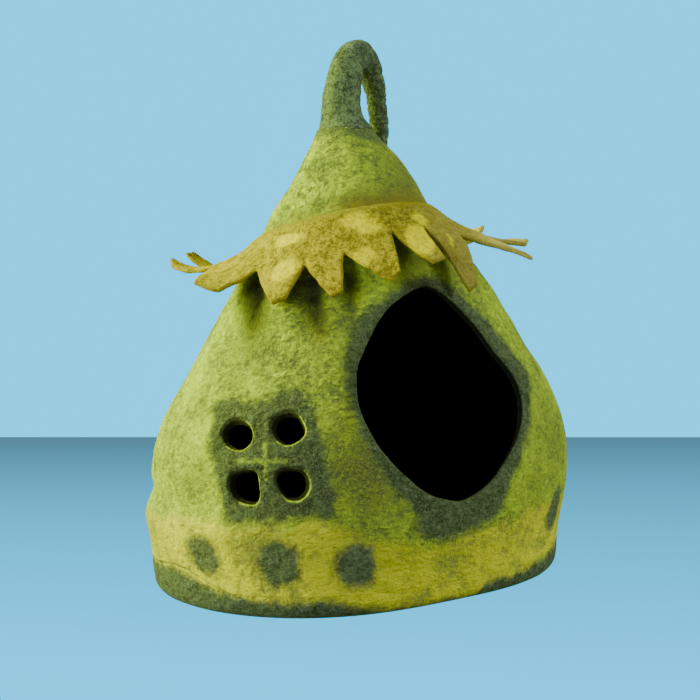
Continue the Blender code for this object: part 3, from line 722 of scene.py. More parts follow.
def body_material(look):
    """Lime felt with darker dyed patches, a yellow band, a dark foot and a dark lining."""
    material, shader, place = felt_shader("body_felt", look)

    crepe_place = place.stretch(1.0, 1.0, 1.7)
    wide = place.noise(20.0, 2.0)
    blotch = place.noise(66.0, 3.0, 0.6)
    crepe = crepe_place.noise(150.0, 2.0, 0.5, 0.4)
    grain = place.noise(420.0, 2.0, 0.6)
    creases = crepe_place.threads(90.0, 0.18, 0.5)
    bright_threads = place.threads(230.0, 0.080)
    dark_threads = place.shift(0.7, 0.3, 0.1).threads(190.0, 0.05)

    fray = place.noise(85.0, 3.0, 0.55) * 0.016 + place.noise(300.0, 2.0) * 0.007

    def within(name):
        """1 inside a dyed zone, with a frayed edge."""
        return 1.0 - (place.attribute(name) + fray).ramp(-DYE_EDGE, DYE_EDGE)

    lively = place.attribute("lively")
    mottle = ((crepe * 1.8 + blotch * 2.4 + wide * 1.8 + grain * 0.4) * (0.78 + lively * 0.95)
              + 0.58).ramp(0.0, 1.0)
    lime = mottle.choose(look.lime_shade, look.lime)
    lime = (creases * (0.28 + blotch * 2.0 + lively * 0.3)).choose(lime, look.lime_shade)

    green_mottle = (crepe * 1.2 + blotch * 0.9 + grain * 0.6 + 0.50).ramp(0.02, 1.0)
    green = green_mottle.choose(look.green_shade, look.green)
    yellow_mottle = (crepe * 1.2 + blotch * 2.2 + wide * 2.0 + grain * 0.5 + 0.67).ramp(0.0, 1.0)
    yellow = yellow_mottle.choose(look.band_shade, look.band)
    streaks = place.stretch(1.0, 1.0, 3.5).noise(17.0, 3.0, 0.6)
    yellow = ((streaks * 3.0 - 0.12).ramp(0.0, 0.8) * 0.8).choose(yellow, look.lime_shade)

    above_band = place.attribute("above_band") + fray + blotch * 0.02
    band = 1.0 - above_band.ramp(-BAND_EDGE, BAND_EDGE)
    colour = band.choose(lime, yellow)
    # Olive dye, with painted shade in some places under the collar and on the right side.
    olive = place.attribute("olive") * (0.88 + crepe * 1.0 + blotch * 1.4)
    colour = olive.choose(colour, look.olive)
    low_green = green_mottle.choose(look.green_shade, look.low_green)
    colour = (within("spot_edge") * 0.95).choose(colour, low_green)
    colour = within("above_foot").choose(colour, low_green)
    colour = within("ring_edge").choose(colour, green)
    cross = 1.0 - (place.attribute("cross_edge") + fray * 0.4).ramp(0.0, CROSS_EDGE)
    patch = within("patch_edge") * (1.0 - cross * (0.60 + crepe * 1.2 + grain * 1.0))
    colour = patch.choose(colour, green)
    colour = (place.attribute("above_stalk") + fray).ramp(-0.005, 0.004).choose(
        colour, look.stalk_green)

    dark = (within("spot_edge") + within("ring_edge") + within("patch_edge")
            + within("above_foot")).ramp(0.0, 1.0)
    thread = dark.choose(look.thread_colour, look.green_thread)
    colour = (bright_threads * (0.22 + grain + dark * 0.06)).choose(colour, thread)
    colour = (dark_threads * 0.25).choose(colour, look.green_shade)

    depth = place.attribute("depth") + crepe * 0.001
    near_window = 1.0 - place.attribute("hole_edge").ramp(*NEAR_WINDOW)
    # Painted shadow over the window rims on the side away from the light.
    hole_side = place.attribute("hole_side") + crepe
    rim_shade = (1.0 - (place.attribute("hole_edge") + fray * 0.3).ramp(0.0, 0.0042)) * (
        1.0 - hole_side.ramp(-0.9, 0.0))
    inner = depth.ramp(*LAYER_ENDS) * near_window
    # The brownish edge above the collar: partly felt, partly painted shade.
    colour = (place.attribute("joined") * (0.9 + crepe + blotch)).choose(colour, look.joined)
    # Painted shade and shadow in the hollows under the collar.
    colour = (place.attribute("hollow") * (1.04 + crepe * 0.5 + blotch * 0.4)).choose(
        colour, look.hollow)
    # Painted shadow on those rims; the holes' inner walls are partly dark felt, partly painted
    # shade.
    colour = (rim_shade * 0.8).choose(colour, look.hollow)
    colour = inner.choose(colour, look.hollow)
    # The cut's lime layer shows mostly on the lit side of each hole: painted light and shade.
    layer = depth.ramp(*LAYER_STARTS) * (1.0 - depth.ramp(*LAYER_ENDS)) * near_window
    layer = layer * (0.04 + 0.96 * hole_side.ramp(-0.3, 0.5))
    colour = (layer * (0.66 + blotch * 3.0 + grain)).choose(colour, look.lime)
    # Painted shadow: on the entrance's upper right the lining's dark colour comes up over the rim.
    lining_and_shade = (depth - near_window * 0.0034
              + place.attribute("shaded_rim").ramp(0.0, 0.7) * 0.0026)
    colour = lining_and_shade.ramp(*LINING_STARTS).choose(colour, look.lining_and_shade)

    height = (crepe * 0.0024 + blotch * 0.0040 - creases * 0.00055) * (0.85 + lively * 0.5)
    height = (height + wide * 0.005 + grain * 0.0006 + bright_threads * 0.00015
              - dark_threads * 0.00015)
    groove = place.attribute("crease_edge")
    height = height - CREASE_DEPTH * (1.0 - abs(groove).ramp(0.0, CREASE_WIDTH))
    finish_shader(shader, colour, height)
    return material


def collar_material(look):
    """Ochre felt sheet with pale dyed spots and darker cut edges."""
    material, shader, place = felt_shader("collar_felt", look)
    blotch = place.noise(70.0, 3.0, 0.55)
    crepe = place.noise(260.0, 3.0, 0.65, 0.5)
    grain = place.noise(600.0, 2.0, 0.6)
    bright_threads = place.threads(280.0, 0.07)
    dark_threads = place.shift(0.4, 0.9, 0.2).threads(240.0, 0.05)
    side = place.axis(0)
    left = side.math("MINIMUM", side, 0.0)
    right = side.ramp(0.03, 0.11)
    far_right = side.ramp(0.12, 0.15)
    # Painted light and shade: lighter left, darker back-left teeth, shaded right, lit far-right
    # teeth.
    mottle = ((crepe * 3.0 + blotch * 1.4 + grain * 1.2) * (1.0 - right * 0.6)
              + 0.20 + side.ramp(-0.168, -0.145) * 0.24 - left * 1.8 + right * 0.12
              + far_right * 0.25).ramp(0.02, 0.98)
    shaded_to_lit = far_right.choose(look.dull_ochre, look.pale_ochre)
    colour = mottle.choose(look.ochre_shade, (right * 0.8).choose(look.ochre, shaded_to_lit))
    fray = place.noise(160.0, 4.0, 0.65) * 0.010 + grain * 0.004
    spot = 1.0 - (place.attribute("spot_edge") + fray).ramp(-0.003, 0.0045)
    pale = (crepe * 3.0 + grain * 2.5 + blotch + 0.62).ramp(0.0, 1.0)
    pale = pale.choose(look.spot_shade, look.spot)
    colour = (spot * (0.95 + crepe)).choose(colour, pale)
    top = 1.0 - (place.attribute("felted_on") + fray).ramp(0.001, 0.014)
    colour = (top * 0.9).choose(colour, look.joined)
    edge = 1.0 - (place.attribute("cut_edge") + fray * 0.3).ramp(0.0006, 0.0030)
    colour = (edge * 0.40).choose(colour, look.edge)
    colour = (bright_threads * 0.30).choose(colour, look.thread_colour)
    colour = (dark_threads * 0.28).choose(colour, look.ochre_shade)
    height = crepe * 0.0012 + blotch * 0.0018 + grain * 0.0005 + bright_threads * 0.00010
    height = height * (0.25 + 0.75 * side.ramp(-0.17, -0.12))
    finish_shader(shader, colour, height)
    return material


def stalk_material(look):
    """Green felt rope with paler loose fibres, and painted shade on its back leg."""
    material, shader, place = felt_shader("stalk_felt", look)
    blotch = place.noise(80.0, 3.0, 0.55)
    crepe = place.noise(250.0, 3.0, 0.65, 0.5)
    grain = place.noise(620.0, 2.0, 0.6)
    threads = place.threads(260.0, 0.05)
    across = place.axis(0)
    # Painted shade: the rope darkens towards +X, on its back leg.
    mottle = (crepe * 2.4 + blotch * 1.3 + grain * 1.2 + 0.5 - across.ramp(0.012, 0.030) * 0.30)
    colour = mottle.ramp(0.05, 0.95).choose(look.green_shade, look.green)
    colour = (threads * 0.25).choose(colour, look.thread_colour)
    height = crepe * 0.0024 + blotch * 0.0022 + grain * 0.0010 + threads * 0.00015
    finish_shader(shader, colour, height)
    return material


# ------------------------------------------------------------------------- felted shell

def shell_profile(grow=0.0):
    """Even (radius, height) rows of the shell's outer face, from the underside to the top."""
    heights = np.linspace(0.0, TOP_HEIGHT, PROFILE_SAMPLES)
    radii = column_at(WALL_SECTIONS, "radius", heights) + grow
    run = np.concatenate([[0.0], np.cumsum(np.hypot(np.diff(radii), np.diff(heights)))])
    even = np.linspace(0.0, run[-1], int(run[-1] / SHELL_STEP))
    wall = list(zip(np.interp(even, run, radii), np.interp(even, run, heights)))
    underside = [(radius, 0.0) for radius in np.linspace(0.0, radii[0], UNDERSIDE_ROWS)[:-1]]
    top = [(radius, TOP_HEIGHT + grow) for radius in np.linspace(radii[-1], 0.0, TOP_ROWS)[1:]]
    wall[-1] = (wall[-1][0], TOP_HEIGHT + grow)
    return underside + wall + top


def cavity_profile():
    """Profile of the hollow, one wall thickness inside the outer face."""
    heights = np.linspace(FLOOR + 2 * FLOOR_CORNER, CAVITY_TOP, CAVITY_ROWS)
    radii = column_at(WALL_SECTIONS, "radius", heights)
    inner = list(zip(radii - WALL * np.sqrt(1.0 + wall_slope(heights) ** 2), heights))
    foot = inner[0][0]
    corner = [(foot - FLOOR_CORNER * (1.0 - math.sin(turn)),
               FLOOR + FLOOR_CORNER * (1.0 - math.cos(turn)))
              for turn in np.linspace(0.0, math.pi / 2, CORNER_ROWS)]
    floor = [(radius, FLOOR) for radius in np.linspace(0.0, corner[0][0], FLOOR_ROWS)[:-1]]
    dome = [(inner[-1][0] * math.cos(turn), CAVITY_TOP + CAVITY_DOME * math.sin(turn))
            for turn in np.linspace(0.0, math.pi / 2, DOME_ROWS)[1:]]
    return floor + corner + inner + dome


def rim_growth(depth, rounding):
    """How much wider than its outline a hole is at a depth below the wall's outer face."""
    inside = min(max(min(depth, WALL - depth), 0.0), rounding)
    return rounding - math.sqrt(rounding ** 2 - (rounding - inside) ** 2)


def hole_plug(name, outline, rounding=RIM_ROUNDING, flare=0.0, slant=0.0):
    """A plug that cuts a hole through the wall, rounds its rims and may narrow inwards."""
    near_side = [-CUTTER_REACH, *RIM_DEPTHS]
    far_side = [WALL - depth for depth in reversed(near_side)]
    points = felt_surface(outline[:, 0], outline[:, 1])
    normals = wall_normals(outline[:, 0], outline[:, 1])
    along = np.roll(points, -1, axis=0) - np.roll(points, 1, axis=0)
    outwards = unit(np.cross(normals, along))
    sideways = unit(np.cross((0.0, 0.0, 1.0), normals.mean(axis=0)))
    rings = []
    for depth in near_side + far_side:
        inwards = min(max(depth / WALL, 0.0), 1.0)
        wider = rim_growth(depth, rounding) - flare * inwards
        rings.append(points + wider * outwards - depth * normals + inwards * slant * sideways)
    middle = points.mean(axis=0)
    through = CUTTER_TIP * unit(normals.sum(axis=0))
    return loft(name, rings, (middle + through, middle - through))


def window_outline(hole):
    """Rounded outline of one window hole, clockwise from outside."""
    return smooth_route(hole.outline, WINDOW_STEPS, closed=True)


def make_shell(look):
    """The whole shell with its floor, entrance, window holes and dyed zones."""
    shell = turned_form("felt_shell", shell_profile(), SHELL_COLUMNS)
    face_outwards(shell)
    cut_away(shell, turned_form("cavity", cavity_profile(), CAVITY_COLUMNS))
    entrance = smooth_route(ENTRANCE_OUTLINE, ENTRANCE_STEPS, closed=True)
    cut_away(shell, hole_plug("entrance", entrance))
    for hole in WINDOW_HOLES:
        cut_away(shell, hole_plug(hole.name, window_outline(hole), WINDOW_ROUNDING,
                                  WINDOW_FLARE, hole.slant))
    weld(shell, WELD_DISTANCE)
    mesh = shell.data
    azimuth, height, depth = wall_places(point_array(mesh))
    write_zones(mesh, azimuth, height, depth)
    push_by_noise(mesh, look.lump_height, SHELL_LUMPS,
                  np.interp(height, SHELL_LUMP_HEIGHTS, (0.0, 1.0, 1.0, 0.0)))
    dress(shell, body_material(look))
    return shell


def joined_strength(azimuth, above):
    """Strength of the soft brownish edge where the collar is felted on, partly painted shade,
    right of the front.
    """
    side = np.interp(azimuth, JOINED_AZIMUTHS, JOINED_SHARES)
    return side * np.exp(-((above - JOINED_ABOVE) / JOINED_SPREAD) ** 2)


def side_of_hole(azimuth, height, middle, towards):
    """1 on one side of a hole's middle and -1 on the other, by the way that is given."""
    across = np.radians(azimuth - middle[0]) * column_at(WALL_SECTIONS, "radius", height)
    above = height - middle[1]
    away = np.maximum(np.hypot(across, above), SMALLEST_LENGTH)
    return (towards[0] * across + towards[1] * above) / away


def write_zones(mesh, azimuth, height, depth):
    """Signed distances and heights that the felt's shader reads its dyed zones from."""
    places = felt_surface(azimuth, height)
    lines = [felt_surface(*np.array(line).T) for line in WINDOW_CROSS]
    cross = np.minimum(*[distance_to_line(places, line) for line in lines])
    windows = np.array([outline_distance(azimuth, height, window_outline(hole), 1)
                        for hole in WINDOW_HOLES])
    middles = np.array([np.mean(hole.outline, axis=0) for hole in WINDOW_HOLES])
    nearest = middles[windows.argmin(axis=0)].T
    entrance_middle = np.mean(ENTRANCE_OUTLINE, axis=0)
    crease_heights = np.interp(azimuth, *np.array(CREASE).T)
    crease_end = np.maximum(CREASE[0][0] - azimuth, azimuth - CREASE[-1][0])
    crease = height - crease_heights
    crease += np.where(crease < 0, -1.0, 1.0) * np.interp(crease_end, *CREASE_FADE)
    zones = {
        "depth": depth,
        "ring_edge": outline_distance(azimuth, height, ENTRANCE_RING),
        "patch_edge": outline_distance(azimuth, height, WINDOW_PATCH),
        "hole_edge": windows.min(axis=0),
        "hole_side": side_of_hole(azimuth, height, nearest, WINDOW_LIT_SIDE),
        "shaded_rim": side_of_hole(azimuth, height, entrance_middle,
                                   ENTRANCE_SHADED_SIDE),
        "cross_edge": cross,
        "spot_edge": spot_distance(azimuth, column_at(WALL_SECTIONS, "radius", height), height,
                                   BAND_SPOTS),
        "above_band": height - np.interp(azimuth, *np.array(BAND_TOP).T),
        "above_foot": height - np.interp(azimuth, *np.array(FOOT_TOP).T),
        "above_stalk": height - np.interp(azimuth, *np.array(STALK_EDGE).T),
        "crease_edge": crease,
        "olive": patch_strength(azimuth, height, OLIVE_AND_SHADE_PATCHES),
        "hollow": patch_strength(azimuth, height, PAINTED_SHADE_PATCHES),
        "lively": patch_strength(azimuth, height, LIVELY),
        "joined": joined_strength(azimuth, height - ring_height(azimuth)),
    }
    for name, values in zones.items():
        write_attribute(mesh, name, values)


# -------------------------------------------------------------------------- leaf collar

def ring_height(azimuth):
    """Height of the collar's upper edge, which is tilted, round the cone."""
    turn = np.radians(azimuth)
    return (COLLAR_HEIGHT + COLLAR_TILT_RIGHT * np.sin(turn)
            + COLLAR_TILT_FRONT * np.cos(turn))


def collar_centre():
    """How far the cone's middle leans to the right at the collar."""
    return float(column_at(WALL_SECTIONS, "lean", COLLAR_HEIGHT))


def round_collar(points):
    """Azimuth and radius of points about the cone's middle at the collar."""
    aside, back = points[:, 0] - collar_centre(), points[:, 1]
    return np.degrees(np.arctan2(aside, -back)), np.hypot(aside, back)


def blend(first, second, share):
    return first + (second - first) * share


def tooth_sheet(tooth, middle, left):
    """Points (rows by columns) of one tooth and its share of the ring, from the inner face."""
    column = np.linspace(-1.0, 1.0, COLLAR_COLUMNS)
    across = 0.5 * (column + 1.0)
    notch = blend(left.notch, tooth.notch, across)
    notch_droop = blend(left.notch_droop, tooth.notch_droop, across)
    azimuth = middle + 0.5 * column * tooth.width
    height = ring_height(azimuth)
    normal = wall_normals(azimuth, height)
    steepness = np.degrees(np.arctan2(np.hypot(normal[:, 0], normal[:, 1]), normal[:, 2]))
    foot = height - COLLAR_ROOT_BAND * np.sin(np.radians(steepness))
    rows = [felt_surface(azimuth, place) + COLLAR_GAP * wall_normals(azimuth, place)
            for place in (height, foot)]
    runs = [np.zeros(COLLAR_COLUMNS), np.full(COLLAR_COLUMNS, COLLAR_ROOT_BAND)]
    _, radius = round_collar(rows[-1])
    centre = collar_centre()

    def step_on(turned, droop, step):
        """Adds the next row of points, a step further out and down the sheet."""
        nonlocal radius
        radius = radius + step * np.cos(droop)
        turn = np.radians(turned)
        rows.append(np.stack([centre + radius * np.sin(turn), -radius * np.cos(turn),
                              rows[-1][:, 2] - step * np.sin(droop)], axis=1))
        runs.append(runs[-1] + step)

    ring_step = (notch - COLLAR_ROOT_BAND) / RING_ROWS
    for row in range(RING_ROWS):
        lifted = ((row + 0.5) / RING_ROWS) ** COLLAR_LIFT
        step_on(azimuth, np.radians(blend(steepness, notch_droop, lifted)), ring_step)

    tooth_step = (tooth.length - notch) / TOOTH_ROWS
    for row in range(TOOTH_ROWS):
        share = 2.0 * (row + 0.5) / TOOTH_ROWS
        if share < 1.0:
            droop = np.radians(blend(notch_droop, tooth.middle_droop, share))
        else:
            droop = np.radians(np.full(COLLAR_COLUMNS, blend(
                tooth.middle_droop, tooth.tip_droop, share - 1.0)))
        reached = (row + 1) / TOOTH_ROWS
        next_radius = radius + tooth_step * np.cos(droop)
        tip_share = tooth.tip / (math.radians(tooth.width) * next_radius)
        narrow = blend(1.0, tip_share, reached ** TOOTH_TAPER)
        turned = middle + 0.5 * column * tooth.width * narrow + tooth.lean * reached
        step_on(turned, droop, tooth_step)
        rows[-1][:, 2] += tooth.roll * column / TOOTH_ROWS
    return np.stack(rows), np.stack(runs)


def make_collar(look):
    """A toothed sheet of felt round the cone, thin where its upper edge is felted on."""
    sheets, runs = [], []
    middle = COLLAR_START
    for index, tooth in enumerate(COLLAR_TEETH):
        middle += 0.5 * tooth.width
        points, run = tooth_sheet(tooth, middle, COLLAR_TEETH[index - 1])
        sheets.append(points)
        runs.append(run)
        middle += 0.5 * tooth.width
    row_count, column_count = sheets[0].shape[:2]
    corner = np.arange(row_count * column_count).reshape(row_count, column_count)
    quads = np.stack([corner[:-1, :-1], corner[1:, :-1], corner[1:, 1:], corner[:-1, 1:]], -1)
    faces = np.concatenate([quads.reshape(-1, 4) + index * corner.size
                            for index in range(len(sheets))])
    points = np.concatenate([sheet.reshape(-1, 3) for sheet in sheets])
    run = np.concatenate([sheet.ravel() for sheet in runs])
    azimuth, radius = round_collar(points)
    free_edge = np.concatenate([
        np.concatenate([sheet[RING_ROWS + 1:, 0], sheet[-1, 1:-1], sheet[:RING_ROWS:-1, -1]])
        for sheet in sheets])
    collar = new_mesh_object("felt_leaf_collar", points, faces)
    mesh = collar.data
    write_attribute(mesh, "cut_edge", distance_to_line(points, free_edge))
    write_attribute(mesh, "spot_edge", spot_distance(azimuth, radius, run, COLLAR_SPOTS))
    write_attribute(mesh, "felted_on", run)
    fade = collar.vertex_groups.new(name="full_thickness")
    fade.add([int(index) for index in np.flatnonzero(run > 0.0)], 1.0, "REPLACE")
    join_points(collar, SMALLEST_EDGE)
    thicken = collar.modifiers.new("felt_thickness", "SOLIDIFY")
    thicken.thickness = COLLAR_THICKNESS
    thicken.offset = 1.0
    thicken.vertex_group = fade.name
    thicken.thickness_vertex_group = COLLAR_EDGE_SHARE
    soften = collar.modifiers.new("soft_edges", "SUBSURF")
    soften.levels = soften.render_levels = 2
    apply_modifiers(collar)
    push_by_noise(collar.data, look.lump_height, COLLAR_LUMPS)
    dress(collar, collar_material(look))
    return collar


# --------------------------------------------------------------------------- stalk loop

def make_stalk(look):
    """The stalk, bent over into a loop that comes down on the cone's shoulder behind."""
    route = smooth_route(STALK_ROUTE, STALK_STEPS)
    points, radii = route[:, :3], route[:, 3].copy()
    run = np.concatenate([[0.0], np.cumsum(np.linalg.norm(np.diff(points, axis=0), axis=1))])
    for share, depth, length in STALK_CREASES:
        radii -= depth * np.exp(-((run - share * run[-1]) / length) ** 2)
    along = unit(np.gradient(points, axis=0))
    side = np.array([1.0, 0.0, 0.0])
    turn = np.arange(STALK_COLUMNS) * math.tau / STALK_COLUMNS
    rings = []
    for point, direction, radius in zip(points, along, radii):
        side = unit(side - direction * (side @ direction))
        other = np.cross(direction, side)
        circle = np.outer(np.cos(turn), side) + np.outer(np.sin(turn), other)
        rings.append(point + radius * circle)
    stalk = loft("felt_stalk", rings, (points[0], points[-1]))
    face_outwards(stalk)
    push_by_noise(stalk.data, look.lump_height, STALK_LUMPS,
                  np.interp(point_array(stalk.data)[:, 2], STALK_LUMP_HEIGHTS, (0.0, 1.0)))
    cut_away(stalk, turned_form("cone_seat", shell_profile(PIECE_GAP), SEAT_COLUMNS))
    weld(stalk, STALK_WELD)
    dress(stalk, stalk_material(look))
    return stalk


# ---------------------------------------------------------------------------- the stage

def make_camera():
    camera = bpy.data.objects.new("camera", bpy.data.cameras.new("camera"))
    camera.data.lens = CAMERA_LENS
    camera.data.sensor_width = CAMERA_SENSOR
    upright = Euler((math.radians(90.0 - CAMERA_PITCH), 0.0, 0.0)).to_matrix().to_4x4()
    roll = Matrix.Rotation(math.radians(CAMERA_ROLL), 4, "Z")
    camera.matrix_world = Matrix.Translation(CAMERA_PLACE) @ upright @ roll
    bpy.context.scene.collection.objects.link(camera)
    bpy.context.scene.camera = camera


def soft_light(lamp, power):
    """A round light that faces the middle of the object."""
    light = bpy.data.lights.new(lamp.name, "AREA")
    light.shape = "DISK"
    light.size = lamp.size
    light.energy = power
    light.color = lamp.colour
    turn, rise = math.radians(lamp.azimuth), math.radians(lamp.elevation)
    outwards = Vector((math.sin(turn) * math.cos(rise), -math.cos(turn) * math.cos(rise),
                       math.sin(rise)))
    made = bpy.data.objects.new(lamp.name, light)
    made.location = Vector(STUDIO_AIM) + lamp.distance * outwards
    made.rotation_euler = outwards.to_track_quat("Z", "Y").to_euler()
    bpy.context.scene.collection.objects.link(made)


def glow_material(name, colour, strength):
    """A plain surface that keeps its own even brightness."""
    material, shader, _ = new_shader(name)
    shader.inputs["Base Color"].default_value = (0.0, 0.0, 0.0, 1.0)
    shader.inputs["Emission Color"].default_value = (*colour, 1.0)
    shader.inputs["Emission Strength"].default_value = strength
    return material


def floor_material(look):
    """Pale floor that darkens evenly towards its far edge."""
    material, shader, place = new_shader("floor")
    shader.inputs["Base Color"].default_value = (*FLOOR_BASE, 1.0)
    across = place.axis(0)
    back = place.axis(1) + across * FLOOR_SKEW
    near = 1.0 - back.node("ShaderNodeMapRange", {0: back, 1: FLOOR_FADE[0], 2: FLOOR_FADE[1]})
    colour = near.math("POWER", near, FLOOR_FADE_POWER).choose(look.far_floor, look.floor)
    colour.feed(shader.inputs["Emission Color"], colour)
    shader.inputs["Emission Strength"].default_value = look.floor_glow
    return material


def set_stage(look):
    """A plain pale floor, a pale backdrop, soft studio lights and the camera."""
    floor = new_mesh_object("floor", FLOOR_CORNERS, (range(len(FLOOR_CORNERS)),))
    floor.data.materials.append(floor_material(look))
    floor.visible_diffuse = False
    backdrop = loft("backdrop", [
        [(BACKDROP_RADIUS * math.sin(turn), -BACKDROP_RADIUS * math.cos(turn), height)
         for turn in np.linspace(0, math.tau, BACKDROP_COLUMNS, endpoint=False)]
        for height in BACKDROP_HEIGHTS], [(0, 0, height) for height in BACKDROP_HEIGHTS])
    backdrop.data.materials.append(glow_material("backdrop", look.backdrop, look.backdrop_glow))
    backdrop.visible_diffuse = backdrop.visible_glossy = backdrop.visible_shadow = False
    for lamp in STUDIO_LAMPS:
        soft_light(lamp, getattr(look, lamp.name))
    world = bpy.data.worlds.new("studio")
    world.use_nodes = True
    background = world.node_tree.nodes["Background"]
    background.inputs["Color"].default_value = (*AMBIENT_COLOUR, 1.0)
    background.inputs["Strength"].default_value = look.ambient
    bpy.context.scene.world = world
    make_camera()


# -------------------------------------------------------------------- sizes and colours

def number(name, description, default, **kind):
    return bpy.props.FloatProperty(name=name, description=description, default=default, **kind)


def felt_colour(name, description, default):
    return bpy.props.FloatVectorProperty(name=name, description=description, default=default,
                                         subtype="COLOR", size=3, min=0.0, max=1.0)


def lump_setting(default):
    return number("Lump height", "How far the felt's soft lumps stand out", default,
                  subtype="DISTANCE", unit="LENGTH")


def fuzz_setting(default):
    return number("Fuzz", "Strength of the pale sheen of loose fibres", default)


def lamp_setting(name, description, default):
    return number(name, description, default, unit="POWER")


class FeltShellLook(bpy.types.PropertyGroup):
    """Sizes and colours of the felted shell."""

    lump_height: lump_setting(0.0009)
    fuzz: fuzz_setting(0.10)
    fuzz_colour: felt_colour("Fuzz colour", "Tint of the loose fibres", (0.80, 1.0, 0.12))
    lime: felt_colour("Lime", "Light tone of the wall", (0.52, 0.75, 0.015))
    lime_shade: felt_colour("Lime shade", "Dark tone of the wall", (0.125, 0.185, 0.026))
    # Olive dye, also used as painted shade under the collar and on the right.
    olive: felt_colour("Olive", "Darker olive places on the wall", (0.125, 0.148, 0.022))
    green: felt_colour("Green", "Light tone of the dark patches", (0.104, 0.146, 0.031))
    low_green: felt_colour("Low green", "Light tone of the foot and spots", (0.096, 0.158, 0.050))
    green_shade: felt_colour("Green shade", "Dark tone of the patches", (0.032, 0.044, 0.008))
    band: felt_colour("Band", "Light tone of the band", (0.78, 0.79, 0.010))
    band_shade: felt_colour("Band shade", "Dark tone of the band", (0.33, 0.35, 0.034))
    stalk_green: felt_colour("Stalk green", "Tip of the cone", (0.10, 0.15, 0.032))
    # Colour of painted shade: hollows under the collar, window rims and the holes' inner walls.
    hollow: felt_colour("Hollows", "Deep places under the collar", (0.020, 0.021, 0.004))
    # Partly the felted-on edge, partly painted shade.
    joined: felt_colour("Joined edge", "Edge above the collar", (0.21, 0.185, 0.014))
    # The felt's dark inner layer, also painted as shadow over the entrance's upper right rim.
    lining_and_shade: felt_colour("Lining", "Inner layer of the felt", (0.010, 0.012, 0.004))
    thread_colour: felt_colour("Threads", "Loose threads on the surface", (0.60, 0.80, 0.01))
    green_thread: felt_colour("Green threads", "Threads on the dark patches", (0.26, 0.38, 0.10))


class LeafCollarLook(bpy.types.PropertyGroup):
    """Sizes and colours of the leaf collar."""

    lump_height: lump_setting(0.0008)
    fuzz: fuzz_setting(0.10)
    fuzz_colour: felt_colour("Fuzz colour", "Tint of the loose fibres", (0.95, 0.90, 0.04))
    ochre: felt_colour("Ochre", "Light tone of the sheet", (0.46, 0.415, 0.014))
    # Painted shade: ochre of the collar's shaded right side.
    dull_ochre: felt_colour("Dull ochre", "Light tone on the right", (0.36, 0.33, 0.045))
    # Painted light: lit tops of the far right-hand teeth.
    pale_ochre: felt_colour("Pale ochre", "Light tone of the right-hand teeth", (0.66, 0.60, 0.09))
    ochre_shade: felt_colour("Ochre shade", "Dark tone of the sheet", (0.125, 0.112, 0.012))
    spot: felt_colour("Spots", "Light tone of the dyed spots", (0.92, 0.84, 0.0))
    spot_shade: felt_colour("Spot shade", "Dark tone of the dyed spots", (0.68, 0.60, 0.0))
    joined: felt_colour("Joined edge", "Upper edge, felted into the cone", (0.24, 0.25, 0.014))
    edge: felt_colour("Cut edge", "Cut edges of the teeth", (0.20, 0.165, 0.012))
    thread_colour: felt_colour("Threads", "Loose threads on the surface", (0.72, 0.66, 0.0))


class StalkLoopLook(bpy.types.PropertyGroup):
    """Sizes and colours of the stalk loop."""

    lump_height: lump_setting(0.0008)
    fuzz: fuzz_setting(0.22)
    fuzz_colour: felt_colour("Fuzz colour", "Tint of the loose fibres", (0.68, 0.95, 0.40))
    green: felt_colour("Green", "Light tone of the rope", (0.190, 0.290, 0.055))
    green_shade: felt_colour("Green shade", "Dark tone of the rope", (0.040, 0.062, 0.012))
    thread_colour: felt_colour("Threads", "Loose threads on the surface", (0.35, 0.48, 0.14))


class StudioLook(bpy.types.PropertyGroup):
    """Floor, backdrop and lights."""

    floor: felt_colour("Floor", "Glow of the floor in front", (0.0, 0.57, 1.0))
    far_floor: felt_colour("Far floor", "Glow of the floor at its far edge", (0.046, 0.12, 0.17))
    floor_glow: number("Floor glow", "Light that the floor gives off itself", 2.0)
    backdrop: felt_colour("Backdrop", "Colour of the plain backdrop", (0.0, 0.56, 1.0))
    backdrop_glow: number("Backdrop glow", "Brightness of the backdrop", 2.2)
    key_light: lamp_setting("Key light", "Light from the upper left", 53.0)
    side_light: lamp_setting("Side light", "Lower light from the left", 38.0)
    front_light: lamp_setting("Front light", "Weak light from the front", 14.0)
    right_light: lamp_setting("Right light", "Weak light from the right", 22.0)
    back_light: lamp_setting("Back light", "Light from behind", 20.0)
    ambient: number("Ambient", "Light from all round", 0.32)


# ---------------------------------------------------------------------------- operators

class MakeShell(bpy.types.Operator):
    """Make the felted shell with its entrance and window holes"""
    bl_idname = "felt_cave.make_shell"
    bl_label = "Make felted shell"

    def execute(self, context):
        shell = make_shell(context.scene.felt_shell)
        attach(shell, "root")
        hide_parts("cave_body")
        return {"FINISHED"}


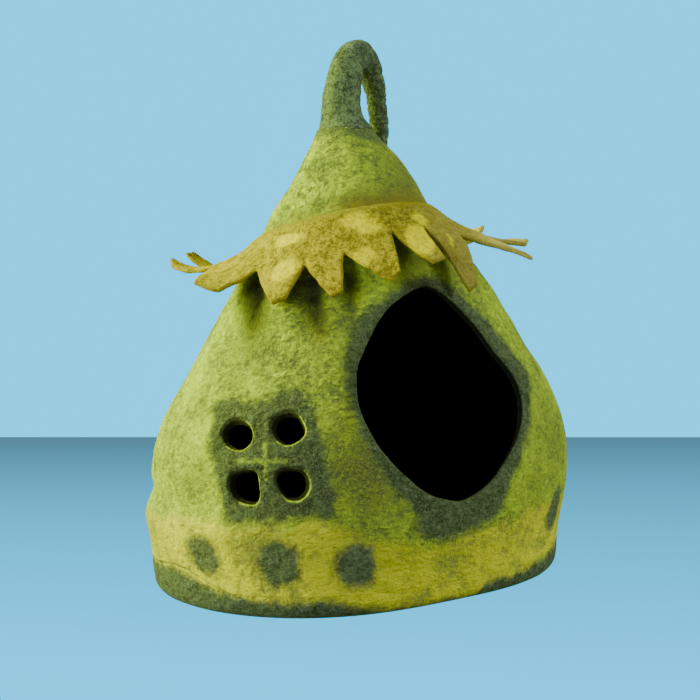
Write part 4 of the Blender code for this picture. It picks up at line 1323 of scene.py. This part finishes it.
class MakeCollar(bpy.types.Operator):
    """Make the leaf collar round the neck"""
    bl_idname = "felt_cave.make_collar"
    bl_label = "Make leaf collar"

    def execute(self, context):
        collar = make_collar(context.scene.leaf_collar)
        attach(collar, "root")
        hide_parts("leaf_collar")
        return {"FINISHED"}


class MakeStalk(bpy.types.Operator):
    """Make the stalk that bends over into a loop"""
    bl_idname = "felt_cave.make_stalk"
    bl_label = "Make stalk loop"

    def execute(self, context):
        stalk = make_stalk(context.scene.stalk_loop)
        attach(stalk, "root")
        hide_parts("stalk_loop")
        return {"FINISHED"}


class SetStage(bpy.types.Operator):
    """Set the floor, the backdrop, the lights and the camera"""
    bl_idname = "felt_cave.set_stage"
    bl_label = "Set the stage"

    def execute(self, context):
        set_stage(context.scene.felt_studio)
        return {"FINISHED"}


class FeltCavePanel(bpy.types.Panel):
    """Lists what the felt cave is made of"""
    bl_idname = "VIEW3D_PT_felt_cave"
    bl_label = "Felt cat cave"
    bl_space_type = "VIEW_3D"
    bl_region_type = "UI"
    bl_category = "Felt cave"

    def draw(self, context):
        for maker, look in MAKERS:
            self.layout.operator(maker.bl_idname)
            settings = getattr(context.scene, look)
            for name in settings.__annotations__:
                self.layout.prop(settings, name)


LOOKS = (("felt_shell", FeltShellLook), ("leaf_collar", LeafCollarLook),
         ("stalk_loop", StalkLoopLook), ("felt_studio", StudioLook))
MAKERS = ((MakeShell, "felt_shell"), (MakeCollar, "leaf_collar"),
          (MakeStalk, "stalk_loop"), (SetStage, "felt_studio"))
CLASSES = (*(look for _, look in LOOKS), *(maker for maker, _ in MAKERS), FeltCavePanel)


def register():
    for added in CLASSES:
        bpy.utils.register_class(added)
    for name, look in LOOKS:
        setattr(bpy.types.Scene, name, bpy.props.PointerProperty(type=look))


def unregister():
    for name, _ in LOOKS:
        delattr(bpy.types.Scene, name)
    for added in reversed(CLASSES):
        bpy.utils.unregister_class(added)


def main():
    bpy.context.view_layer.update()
    register()
    bpy.ops.felt_cave.make_shell()
    bpy.ops.felt_cave.make_collar()
    bpy.ops.felt_cave.make_stalk()
    bpy.ops.felt_cave.set_stage()


if __name__ == "__main__":
    main()
